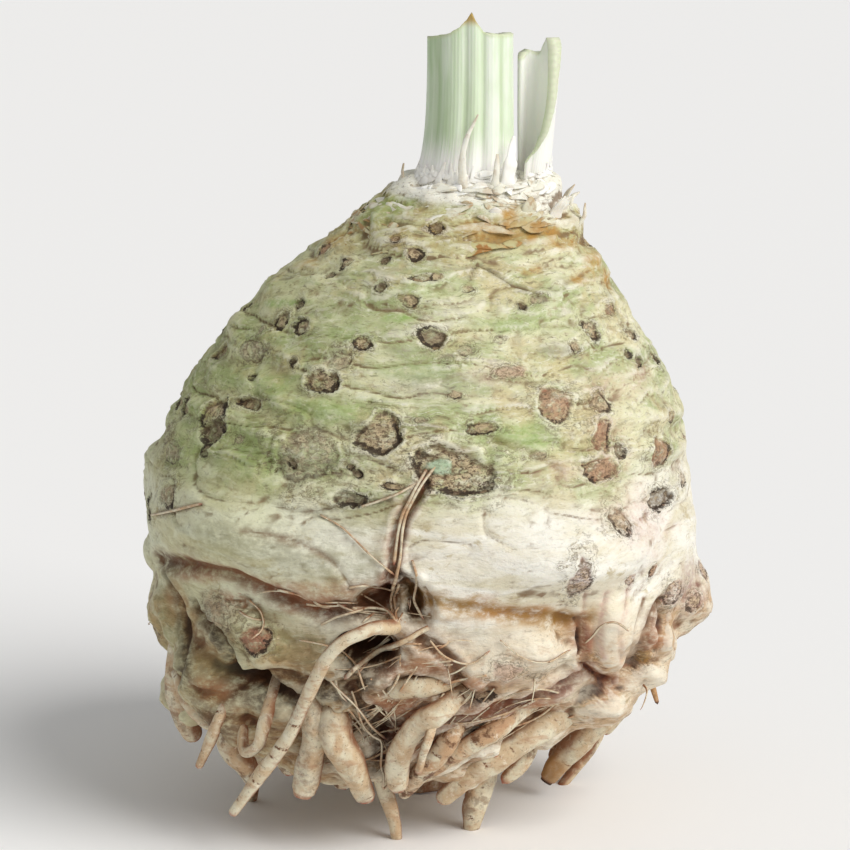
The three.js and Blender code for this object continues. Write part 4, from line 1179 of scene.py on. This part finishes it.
def ribbon(index):
    """A torn fibrous strip that lies level round the crown's slope, with its upper edge a little free."""
    turn = math.radians(index * GOLDEN_TURN)
    low, high = RIBBON_LEVELS
    height = low + (high - low) * (0.5 + 0.5 * scatter(index, 62)) ** 0.7
    half_span = math.radians(9 + 6 * scatter(index, 63))
    drop = 1.1 * scatter(index, 64)
    width = 0.75 + 0.45 * scatter(index, 65)
    lift = (0.2 + 0.2 * scatter(index, 67)) * (height - low) / (high - low) - 0.12
    route = []
    for share, size in ((-1, 0.2), (-0.4, 1), (0.35, 0.8), (1, 0.15)):
        level = height + drop * share + 0.5 * scatter(index, 68) * share ** 2
        point = slope_point(turn + half_span * share, level, lift * (1 - share * share))
        route.append((*point, width * size))
    outward = unit(np.array([math.cos(turn), math.sin(turn), 1.1]))
    tone = np.clip(1.25 - 1.3 * (height - low) / (high - low) + 0.3 * scatter(index, 66), 0, 1)
    return route, outward, STRIP_FLATNESS, 40 + index, tone


def frills(name, count):
    """White torn slips wrapped level round the foot of a stalk, with a few that stand up."""
    spec = STALKS[name]
    run = catmull_rom([(x, y, 0) for x, y in spec["middle"]], 30)[:, :2]
    scale, about, power = spec["foot"]
    mean_height = np.mean(spec["tops"]) - CROWN_HEIGHT

    def beside(share, rise, out):
        """A point beside the stalk's outer wall, and the way out from it."""
        at = int(np.clip(share, 0, 1) * (len(run) - 2))
        tangent = run[at + 1] - run[at]
        outward = np.array([tangent[1], -tangent[0]]) / np.linalg.norm(tangent)
        thick = np.interp(at / len(run), np.linspace(0, 1, len(spec["thickness"])), spec["thickness"]) / 2
        bend = 1 + (scale - 1) * (1 - max(rise, 0) / mean_height) ** power
        spot = (run[at] + outward * thick - about) * bend + about + outward * out
        return np.array([*spot, CROWN_HEIGHT + rise]), np.array([*outward, 0.0])

    parts = []
    for index in range(count):
        seed = index + 7 * count
        share = 0.03 + 0.94 * (index + 0.5) / count + 0.012 * scatter(seed, 81)
        tone = 0.06 + 0.06 * scatter(seed, 88)
        if index % STANDING_FRILL_EVERY == 0:
            base, outward = beside(share, 0.4, 0.3)
            tip, _ = beside(share + 0.02 * scatter(seed, 86), 3.6 + 1.4 * scatter(seed, 83), 0.35)
            width = 0.8 + 0.25 * scatter(seed, 85)
            route = [(*(base - [0, 0, 1.5]), width * 1.3), (*base, width), (*tip, 0.2)]
            parts.append((route, outward, STRIP_FLATNESS, 400 + seed, tone))
            continue
        rise = 0.3 + 2.3 * (0.5 + 0.5 * scatter(seed, 83)) ** 1.3
        half_span = 0.05 + 0.025 * scatter(seed, 85)
        slant = 0.6 * scatter(seed, 86)
        width = 0.75 + 0.3 * scatter(seed, 84)
        out = 0.05 + 0.4 * (2.6 - rise) / 2.6 + 0.12 * scatter(seed, 82)
        route = []
        for step, size in ((-1, 0.2), (-0.4, 1), (0.4, 0.85), (1, 0.2)):
            near = out * (1 - 0.5 * step * step)
            spot, _ = beside(share + half_span * step, rise + slant * step, near)
            route.append((*spot, width * size))
        facing = unit(beside(share, rise, out)[1] + [0, 0, 0.5])
        parts.append((route, facing, STRIP_FLATNESS, 400 + seed, tone))
    return parts


def make_crown(material):
    """The torn leaf bases of the crown as thin blades: standing scales, level ribbons, frills and slivers."""
    parts = []
    for index in range(CAD_SCALE_COUNT):
        turn = math.radians(360 / CAD_SCALE_COUNT * index + 8 * scatter(index, 11))
        route, outward = crown_route(turn, out=20 + 1.2 * scatter(index, 12),
                                     lean=1.6 + 0.8 * scatter(index, 14),
                                     length=1.7 + 1.0 * scatter(index, 13),
                                     width=1.8 + 0.5 * scatter(index, 15))
        parts.append((route, outward, SCALE_FLATNESS, index, 0.4 + 0.3 * scatter(index, 61)))
    parts += [ribbon(index) for index in range(RIBBON_COUNT)]
    for name, count in FRILL_COUNTS.items():
        parts += frills(name, count)
    for index, (route, tone) in enumerate(SLIVERS):
        outward = unit(np.array([route[1][0] - CROWN_CENTRE[0], route[1][1] - CROWN_CENTRE[1], 0.0]))
        parts.append((route, outward, SLIVER_FLATNESS, 300 + index, tone))
    blades = [blade_points(*part[:4]) for part in parts]
    points, faces = joined([blade[:2] for blade in blades])
    piece = new_piece("crown_scales", points, faces, material)
    tint_layers = photo_stains_and_shade(points_of(piece.data) / TO_METRES, ["orange"])
    write_numbers(piece.data, "rise", np.concatenate([blade[2] for blade in blades]))
    sizes = [len(blade[2]) for blade in blades]
    write_numbers(piece.data, "tone", np.repeat([part[4] for part in parts], sizes))
    write_numbers(piece.data, "amber", np.max([strength for _, strength in tint_layers], axis=0))


# Cut leaf stalks

STALK_COLUMNS = 150
STALK_ROWS = 110
FINE_RIB_COUNT = 46
FINE_RIB_HEIGHT = 0.05
STALK_SUNK = 0.6
BROWN_TIP = (34.4, 36.6)


def channel_faces():
    """The faces of a stalk: its outer and inner wall, its two long edges, and its foot and top."""
    wide = STALK_COLUMNS
    inner = STALK_ROWS * wide
    faces = []
    for row in range(STALK_ROWS - 1):
        for near in range(row * wide, (row + 1) * wide - 1):
            far = inner + near
            faces.append((near, near + 1, near + wide + 1, near + wide))
            faces.append((far + 1, far, far + wide, far + wide + 1))
    for first in range(0, inner - wide, wide):
        last = first + wide - 1
        faces.append((first, first + wide, inner + first + wide, inner + first))
        faces.append((inner + last, inner + last + wide, last + wide, last))
    for near in range(wide - 1):
        faces.append((near + 1, near, inner + near, inner + near + 1))
    for near in range(inner - wide, inner - 1):
        faces.append((inner + near + 1, inner + near, near, near + 1))
    return faces


def make_stalk(name, spec, material):
    """A channelled leaf stalk: ribbed outside, smooth inside, torn along its top."""
    share = np.linspace(0, 1, STALK_COLUMNS)
    run = catmull_rom([(x, y, 0, 0) for x, y in spec["middle"]], 60)
    travelled = np.linspace(0, 1, len(run))
    middle = np.stack([np.interp(share, travelled, run[:, axis]) for axis in range(2)], axis=1)
    tangent = unit_rows(np.gradient(middle, axis=0))
    outward = np.stack([tangent[:, 1], -tangent[:, 0]], axis=1)
    scale, about, power = spec["foot"]
    tops = np.interp(share, np.linspace(0, 1, len(spec["tops"])), spec["tops"])
    tear = np.stack([share * 40, np.zeros_like(share), np.zeros_like(share)], axis=1)
    tops = tops - 0.35 * np.abs(grain(tear, 2.2, 5)) - 0.2 * np.abs(grain(tear, 0.8, 6))
    half = np.interp(share, np.linspace(0, 1, len(spec["thickness"])), spec["thickness"]) / 2
    half = half * np.sqrt(np.clip(1 - (2 * share - 1) ** 24, 0.15, 1))
    phase = share + 0.05 * np.sin(9 * share + 1)
    rib = spec["rib_height"] * np.cos(2 * math.pi * spec["ribs"] * phase) * (0.7 + 0.3 * np.sin(14 * share))
    rib = rib - 0.2 * np.exp(-((((phase * spec["ribs"]) % 1) - 0.5) / 0.1) ** 2)
    fine = FINE_RIB_HEIGHT * np.sin(2 * math.pi * FINE_RIB_COUNT * share)
    foot = CROWN_HEIGHT - STALK_SUNK
    layers = []
    for side in (1, -1):
        for rise in np.linspace(0, 1, STALK_ROWS):
            bend = 1 + (scale - 1) * (1 - rise) ** power
            out = side * half + (rib + fine if side > 0 else 0.3 * fine)
            heights = foot + (tops - foot) * rise
            spots = np.column_stack([middle, heights])
            out = out + 0.12 * grain(spots, (3, 3, 14), 8 + side)
            plan = (middle + outward * out[:, None] - about) * bend + about
            layers.append(np.column_stack([plan, heights]))
    points = np.vstack(layers)
    piece = new_piece(name.replace("stalk", "leaf_stalk"), points, channel_faces(), material)
    rise = np.tile(np.repeat(np.linspace(0, 1, STALK_ROWS), STALK_COLUMNS), 2)
    tip = smoothstep(*BROWN_TIP, np.tile(tops - foot, STALK_ROWS * 2) * rise)
    stalk_layers(piece, across=np.tile(share, STALK_ROWS * 2), rise=rise,
                 inside=np.repeat([0.0, 1.0], len(points) // 2),
                 rib=np.tile(rib / spec["rib_height"], STALK_ROWS * 2), tip=tip,
                 greenness=spec["greenness"], bleached=spec["bleached"])
    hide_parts(name)


def stalk_layers(piece, **layers):
    """Writes what the colours of a stalk or the shoot follow."""
    for name, values in layers.items():
        write_numbers(piece.data, name, np.broadcast_to(values, len(piece.data.vertices)))


def make_heart_shoot(material):
    route = [(x, y, CROWN_HEIGHT - STALK_SUNK + rise, radius) for x, y, rise, radius in HEART_SHOOT]
    points, faces, distance, _ = tube_points(route, sides=40, step=0.35, seed=97, knobbly=0.04, creases=0.0)
    piece = new_piece("young_shoot", points, faces, material)
    turn = np.arctan2(points[:, 1] - route[0][1], points[:, 0] - route[0][0]) / (2 * math.pi) + 0.5
    stalk_layers(piece, across=turn, rise=distance / distance.max(), inside=0.0, rib=0.0, tip=0.0,
                 greenness=0.5, bleached=0.3)
    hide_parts("heart_shoot")


# Materials

class Shader:
    """A node material that is built up from left to right. Sizes are in millimetres."""

    def __init__(self, name, roughness, specular, soft, soft_colour, soft_depth):
        self.material = bpy.data.materials.new(name)
        self.material.use_nodes = True
        self.nodes = self.material.node_tree.nodes
        self.links = self.material.node_tree.links
        self.surface = self.nodes["Principled BSDF"]
        self.surface.inputs["Roughness"].default_value = roughness
        self.surface.inputs["Specular IOR Level"].default_value = specular
        self.surface.inputs["Subsurface Weight"].default_value = soft
        self.surface.inputs["Subsurface Radius"].default_value = soft_colour
        self.surface.inputs["Subsurface Scale"].default_value = soft_depth
        self.place = self.nodes.new("ShaderNodeTexCoord").outputs["Object"]

    def put(self, socket, value):
        if isinstance(value, bpy.types.NodeSocket):
            self.links.new(value, socket)
        else:
            socket.default_value = value

    def node(self, kind, inputs, output=0, **settings):
        node = self.nodes.new(kind)
        for name, value in settings.items():
            setattr(node, name, value)
        for name, value in inputs.items():
            self.put(node.inputs[name], value)
        return node.outputs[output]

    def layer(self, name):
        return self.node("ShaderNodeAttribute", {}, "Fac", attribute_name=name)

    def sum(self, first, second):
        return self.node("ShaderNodeMath", {0: first, 1: second}, operation="ADD")

    def times(self, first, second):
        return self.node("ShaderNodeMath", {0: first, 1: second}, operation="MULTIPLY")

    def span(self, value, low, high, to_low=0.0, to_high=1.0):
        inputs = {"Value": value, "From Min": low, "From Max": high, "To Min": to_low, "To Max": to_high}
        return self.node("ShaderNodeMapRange", inputs, interpolation_type="SMOOTHSTEP")

    def centred(self, value, reach):
        """A noise of 0 to 1 as a number about zero."""
        return self.times(self.sum(value, -0.5), reach)

    def rest(self, share):
        return self.sum(1.0, self.times(share, -1.0))

    def height(self):
        """The height above the floor in millimetres."""
        return self.times(self.node("ShaderNodeSeparateXYZ", {0: self.place}, "Z"), 1000.0)

    def across(self):
        """How far to the right of the middle a point is, in millimetres."""
        return self.times(self.node("ShaderNodeSeparateXYZ", {0: self.place}, "X"), 1000.0)

    def stretched(self, size, place=None):
        across, deep, tall = (size, size, size) if isinstance(size, (int, float)) else size
        scale = (1000 / across, 1000 / deep, 1000 / tall)
        return self.node("ShaderNodeVectorMath", {0: place or self.place, 1: scale}, operation="MULTIPLY")

    def noise(self, size, detail=4.0, rough=0.55, twist=0.0, place=None):
        inputs = {"Vector": self.stretched(size, place), "Scale": 1.0, "Detail": detail, "Roughness": rough,
                  "Distortion": twist}
        return self.node("ShaderNodeTexNoise", inputs, "Fac")

    def blend(self, share, first, second, mode="MIX"):
        return self.node("ShaderNodeMix", {"Factor": share, 6: first, 7: second}, 2, data_type="RGBA",
                         blend_type=mode, clamp_factor=True)

    def veiled(self, colour, shade, pattern, low, high, most=1.0, least=0.0, where=None):
        """The colour with a shade laid over it where a pattern goes from one value to another."""
        share = self.span(pattern, low, high, least, most)
        if where is not None:
            share = self.times(share, where)
        return self.blend(share, colour, srgb(*shade))

    def swayed(self, size, reach, place=None):
        """Coordinates whose height wanders, so that level streaks waver."""
        sway = self.centred(self.noise(size, 2.0), reach * 2 / 1000)
        offset = self.node("ShaderNodeCombineXYZ", {"Z": sway})
        return self.node("ShaderNodeVectorMath", {0: place or self.place, 1: offset}, operation="ADD")

    def finish(self, colour, bumps, roughness=None):
        self.put(self.surface.inputs["Base Color"], colour)
        normal = None
        for height, strength, depth in bumps:
            inputs = {"Height": height, "Strength": strength, "Distance": depth / 1000}
            if normal is not None:
                inputs["Normal"] = normal
            normal = self.node("ShaderNodeBump", inputs)
        self.put(self.surface.inputs["Normal"], normal)
        if roughness is not None:
            self.put(self.surface.inputs["Roughness"], roughness)
        return self.material


TINT_COLOURS = {
    "green": srgb(142, 172, 92), "brown": srgb(126, 80, 46), "red": srgb(150, 84, 58),
    "dark": srgb(46, 34, 24), "grey": srgb(148, 146, 134), "blood": srgb(150, 74, 56),
    "purple": srgb(150, 92, 96), "pink": srgb(206, 164, 150), "orange": srgb(182, 138, 66),
    "teal": srgb(158, 200, 170), "olive": srgb(146, 142, 98), "cream": srgb(238, 228, 206),
    "rust": srgb(166, 104, 66),
}


def skin_material():
    s = Shader("celeriac_skin", roughness=0.6, specular=0.3, soft=0.05,
               soft_colour=(1.0, 0.75, 0.45), soft_depth=0.0012)
    level = s.swayed(26, 3.0)
    waver = s.swayed(7, 1.6, level)
    z = s.height()
    broad = s.noise((20, 20, 6), 4.0, 0.6, 0.5, level)
    streak = s.noise((8, 8, 1.5), 5.0, 0.66, 0.2, waver)
    dash = s.noise((3.4, 3.4, 0.55), 4.0, 0.62, 0.0, waver)
    blotch = s.noise(11, 5.0, 0.62)
    patch = s.noise((6, 6, 4), 5.0, 0.65, 0.8)
    mottle = s.noise((2.6, 2.6, 1.7), 5.0, 0.7)
    fleck = s.noise((0.9, 0.9, 0.6), 3.0, 0.68)
    level_of_zones = s.sum(z, s.centred(s.noise(18, 3.0), 22.0))
    upper = s.span(level_of_zones, 72.0, 88.0)
    under = s.span(level_of_zones, 58.0, 50.0)
    lower = s.rest(upper)

    # The three zones: green above, pale in the middle, earthy below.
    green = s.blend(s.span(broad, 0.36, 0.64), srgb(172, 181, 130), srgb(218, 215, 178))
    green = s.veiled(green, (204, 190, 146), blotch, 0.48, 0.66, 0.75)
    green = s.veiled(green, (180, 176, 148), patch, 0.53, 0.64, 0.6)
    green = s.veiled(green, (224, 224, 192), patch, 0.45, 0.36, 0.5)
    pale = s.blend(s.span(broad, 0.35, 0.6), srgb(222, 214, 188), srgb(241, 238, 227))
    pale = s.veiled(pale, (196, 182, 148), patch, 0.54, 0.66, where=s.span(blotch, 0.44, 0.58))
    low = s.blend(s.span(blotch, 0.4, 0.6), srgb(226, 214, 190), srgb(200, 170, 134))
    low = s.veiled(low, (166, 120, 84), patch, 0.52, 0.66, 0.6)
    colour = s.blend(under, s.blend(upper, pale, green), low)

    # The crown: an olive collar, and white where the leaves were torn off.
    collar = s.span(s.sum(z, s.centred(s.noise((9, 9, 14), 4.0, 0.6), 14.0)), 126.0, 131.0)
    olive = s.blend(s.span(patch, 0.4, 0.6), srgb(198, 194, 146), srgb(170, 148, 92))
    colour = s.blend(s.times(collar, 0.85), colour, olive)
    torn = s.sum(s.sum(z, s.times(s.across(), 0.12)), s.centred(s.noise((5, 5, 9), 4.0, 0.6), 9.0))
    colour = s.veiled(colour, (240, 238, 226), torn, 136.5, 140.0)

    # Streaks, dashes and specks, calmer in the middle zone.
    calm = s.sum(1.0, s.times(s.times(lower, s.rest(under)), -0.6))
    colour = s.veiled(colour, (238, 234, 216), streak, 0.52, 0.68, 0.45, where=calm)
    colour = s.veiled(colour, (140, 128, 92), streak, 0.46, 0.32, 0.5, where=calm)
    colour = s.veiled(colour, (96, 82, 56), dash, 0.44, 0.3, 0.6, where=calm)
    colour = s.veiled(colour, (240, 238, 222), dash, 0.57, 0.7, 0.5, where=calm)
    colour = s.veiled(colour, (152, 128, 94), mottle, 0.54, 0.68, 0.5, where=calm)
    colour = s.veiled(colour, (240, 237, 222), mottle, 0.42, 0.3, 0.45)
    colour = s.veiled(colour, (98, 76, 50), fleck, 0.58, 0.7, 0.55, where=calm)

    # Painted shade in the small and wide dips, darkest on the lower body, and painted highlight on the
    # ridges.
    dip = s.layer("small_dip")
    wide = s.layer("wide_dip")
    colour = s.veiled(colour, (118, 90, 60), dip, 0.05, 0.35, 0.8)
    colour = s.veiled(colour, (240, 236, 220), dip, -0.04, -0.3, 0.5)
    # Painted shade in the wide dips of the lower body, soil brown, then near black in the deepest.
    wide_dip_shade = s.sum(wide, s.centred(mottle, 4.0))
    colour = s.veiled(colour, (140, 86, 54), wide_dip_shade, 0.5, 2.2, 0.9, where=lower)
    deep = s.sum(wide, s.centred(patch, 3.0))
    colour = s.veiled(colour, (58, 34, 24), deep, 1.5, 3.4, 0.95, where=lower)
    colour = s.veiled(colour, (62, 36, 24), dip, 0.25, 0.6, where=under)

    # A duller left side, then the photograph's stains, with painted shade in the crease cores, the hollows
    # and the gaps between the roots.
    duller = s.blend(1.0, colour, srgb(235, 239, 218), "MULTIPLY")
    colour = s.blend(s.span(s.across(), 5.0, -48.0), colour, duller)
    breakup = s.span(mottle, 0.34, 0.6, 0.25, 1.0)
    for tint in TINTS:
        colour = s.blend(s.times(s.layer(tint), breakup), colour, TINT_COLOURS[tint])

    # Scars: a rough inside, a halo of fine rings and a dark edge.
    ragged = s.sum(s.centred(mottle, 1.3), s.centred(fleck, 0.7))
    out = s.sum(s.layer("scar_out"), ragged)
    rough = s.times(s.span(out, 1.0, 0.75), s.layer("scar_mottle"))
    colour = s.veiled(colour, (210, 190, 154), mottle, 0.45, 0.56, 0.85, where=rough)
    colour = s.veiled(colour, (74, 50, 34), fleck, 0.5, 0.42, 0.85, where=rough)
    ring = s.node("ShaderNodeMath", {0: s.times(out, SCAR_RINGS)}, operation="SINE")
    halo = s.times(s.times(s.span(out, 0.3, 0.5), s.span(out, 2.0, 1.3)), s.span(patch, 0.4, 0.56))
    colour = s.veiled(colour, (104, 86, 60), ring, 0.1, 0.8, 0.62, where=halo)
    band = s.times(s.span(out, 0.6, 0.8), s.span(out, 1.15, 0.95))
    edge = s.times(s.times(band, s.layer("scar_edge")), s.span(mottle, 0.4, 0.54, 0.35, 1.0))
    colour = s.veiled(colour, (48, 35, 25), edge, 0.1, 0.5, 0.9)
    bumps = [(streak, 0.45, 0.5), (dash, 0.4, 0.25), (mottle, 0.55, 0.5),
             (s.times(s.times(ring, halo), -0.5), 0.4, 0.3), (fleck, 0.45, 0.2)]
    return s.finish(colour, bumps, s.span(streak, 0.3, 0.7, 0.72, 0.5))


def root_material():
    s = Shader("root_bark", roughness=0.6, specular=0.3, soft=0.06,
               soft_colour=(1.0, 0.6, 0.35), soft_depth=0.0012)
    blotch = s.noise(6, 4.0, 0.6, 0.6)
    mottle = s.noise(1.9, 5.0, 0.68)
    fleck = s.noise(0.6, 3.0, 0.65)
    grainy = s.noise((5, 5, 1.6), 4.0, 0.6, 0.4)
    ochre = s.layer("ochre")
    left = s.layer("left")
    colour = s.blend(s.span(blotch, 0.36, 0.64), srgb(222, 214, 188), srgb(206, 186, 152))
    colour = s.veiled(colour, (190, 142, 102), blotch, 0.42, 0.64, 0.75, where=s.layer("warmth"))
    colour = s.veiled(colour, (176, 132, 98), grainy, 0.54, 0.68, 0.5)
    colour = s.veiled(colour, (164, 118, 88), mottle, 0.56, 0.7, 0.4)
    colour = s.veiled(colour, (242, 234, 214), mottle, 0.44, 0.3, 0.6)

    # Creases, soil, specks, and on the side towards the body both soil and painted shade.
    creased = s.span(s.layer("fold"), 0.2, 0.8)
    colour = s.veiled(colour, (112, 70, 44), fleck, 0.4, 0.56, where=creased)
    colour = s.veiled(colour, (104, 66, 42), s.noise(3.6, 5.0, 0.65), 0.5, 0.62, where=s.layer("dirt"))
    colour = s.veiled(colour, (92, 60, 38), fleck, 0.58, 0.7, 0.5)
    # Soil and painted shade on the side that faces the body, more on top than underneath.
    inner = s.span(s.sum(s.layer("outer"), s.centred(blotch, 1.6)), 0.62, -0.15)
    colour = s.veiled(colour, (134, 82, 50), mottle, 0.3, 0.55, 0.9, 0.5, where=inner)

    # Ochre tips, then the cut or withered ends.
    tip = s.times(ochre, s.span(mottle, 0.3, 0.6, 0.6, 1.0))
    colour = s.blend(s.times(tip, 0.85), colour, srgb(172, 128, 78))
    colour = s.veiled(colour, (160, 92, 70), mottle, 0.3, 0.6, 0.9, 0.3, where=s.span(left, 1.6, 0.2))
    colour = s.veiled(colour, (60, 42, 28), left, 1.2, 0.1, where=ochre)
    return s.finish(colour, [(blotch, 0.4, 0.5), (mottle, 0.55, 0.4), (fleck, 0.35, 0.15)])


def scale_material():
    s = Shader("crown_scale", roughness=0.6, specular=0.3, soft=0.1,
               soft_colour=(1.0, 0.8, 0.5), soft_depth=0.0012)
    fibre = s.noise((1.2, 1.2, 4), 4.0, 0.6)
    blotch = s.noise(3, 4.0, 0.6)
    tone = s.layer("tone")
    colour = s.blend(tone, srgb(252, 251, 246), srgb(188, 182, 134))
    colour = s.veiled(colour, (190, 176, 130), fibre, 0.5, 0.66, 0.6, where=s.sum(tone, 0.06))
    colour = s.veiled(colour, (158, 112, 58), blotch, 0.48, 0.62, where=tone)
    colour = s.veiled(colour, (172, 134, 80), s.layer("rise"), 0.7, 1.0, where=tone)
    colour = s.veiled(colour, (176, 136, 72), blotch, 0.3, 0.55, 1.0, 0.5, where=s.layer("amber"))
    return s.finish(colour, [(fibre, 0.45, 0.3)])


def stalk_material():
    s = Shader("leaf_stalk", roughness=0.42, specular=0.4, soft=0.12,
               soft_colour=(0.6, 1.0, 0.4), soft_depth=0.002)
    across = s.layer("across")
    rise = s.layer("rise")
    inside = s.layer("inside")
    bleached = s.layer("bleached")
    strip = {"X": s.times(across, 0.03), "Y": inside, "Z": s.times(rise, 0.004)}
    strip = s.node("ShaderNodeCombineXYZ", strip)
    fibre = s.noise((0.25, 1000, 1.6), 4.0, 0.6, 0.0, strip)
    band = s.noise((2.2, 1000, 4), 3.0, 0.5, 0.0, strip)
    cloud = s.noise((8, 8, 20), 3.0, 0.5)
    colour = s.blend(s.span(band, 0.36, 0.62), srgb(218, 231, 204), srgb(236, 243, 228))
    colour = s.veiled(colour, (200, 216, 178), cloud, 0.5, 0.66, 0.4)
    strong = s.times(s.layer("greenness"), s.span(across, 0.52, 0.2))
    colour = s.veiled(colour, (152, 182, 128), band, 0.64, 0.4, 1.0, 0.55, where=strong)
    colour = s.veiled(colour, (206, 222, 206), fibre, 0.56, 0.66, 0.25, where=strong)
    colour = s.veiled(colour, (150, 174, 116), s.layer("rib"), -0.2, -1.2, 0.3)
    colour = s.veiled(colour, (174, 196, 142), fibre, 0.54, 0.68, 0.18)
    # The inner wall is near white: its own pale colour, with painted light added against the shade it lies
    # in.
    colour = s.blend(s.times(inside, 0.85), colour, srgb(240, 244, 234))

    # White and faintly pink at the foot, dull along the cut, brown at the pointed tip.
    frayed = s.sum(rise, s.centred(fibre, 0.3))
    colour = s.veiled(colour, (246, 245, 240), frayed, s.sum(bleached, 0.08), s.times(bleached, 0.4), 0.95)
    colour = s.veiled(colour, (222, 212, 216), cloud, 0.5, 0.6, 0.4, where=s.span(rise, 0.14, 0.0))
    colour = s.veiled(colour, (196, 202, 158), rise, 0.965, 1.0, 0.6)
    colour = s.blend(s.layer("tip"), colour, srgb(190, 160, 92))
    return s.finish(colour, [(fibre, 0.25, 0.2), (band, 0.25, 0.4)])


# Light and floor. The key's turn is measured from straight in front, to the right, and its rise from level.

WORLD_LIGHT = 0.38
KEY_POWER = 2.6
KEY_SPREAD = 40
KEY_TURN = 52
KEY_RISE = 40


def make_floor():
    material = bpy.data.materials.new("studio_floor")
    material.use_nodes = True
    surface = material.node_tree.nodes["Principled BSDF"]
    surface.inputs["Base Color"].default_value = (0.96, 0.96, 0.96, 1)
    surface.inputs["Roughness"].default_value = 0.8
    size = 4.0
    mesh = bpy.data.meshes.new("studio_floor")
    corners = [(-size, -size, 0), (size, -size, 0), (size, size, 0), (-size, size, 0)]
    mesh.from_pydata(corners, [], [(0, 1, 2, 3)])
    mesh.materials.append(material)
    placed("studio_floor", mesh)


def make_light():
    world = bpy.data.worlds.new("studio")
    bpy.context.scene.world = world
    world.use_nodes = True
    background = world.node_tree.nodes["Background"]
    background.inputs["Color"].default_value = (1, 1, 1, 1)
    background.inputs["Strength"].default_value = WORLD_LIGHT
    data = bpy.data.lights.new("key", "SUN")
    data.energy = KEY_POWER
    data.angle = math.radians(KEY_SPREAD)
    data.color = (1.0, 0.985, 0.96)
    key = placed("key", data)
    turn, rise = math.radians(KEY_TURN), math.radians(KEY_RISE)
    toward = Vector((math.sin(turn) * math.cos(rise), -math.cos(turn) * math.cos(rise), math.sin(rise)))
    key.rotation_euler = (-toward).to_track_quat("-Z", "Y").to_euler()
    bpy.context.scene.view_settings.view_transform = "Standard"


make_camera()
make_floor()
make_light()
scar_list = place_scars()
line_list = place_lines()
skin = make_skin(scar_list, line_list, skin_material())
stain_and_shade_skin(skin, scar_list, line_list)
bark = root_material()
make_roots(bark)
make_hairs(bark)
make_fibres(bark)
make_crown(scale_material())
stalk_look = stalk_material()
for stalk_name, stalk_spec in STALKS.items():
    make_stalk(stalk_name, stalk_spec, stalk_look)
make_heart_shoot(stalk_look)
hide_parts("root_body")
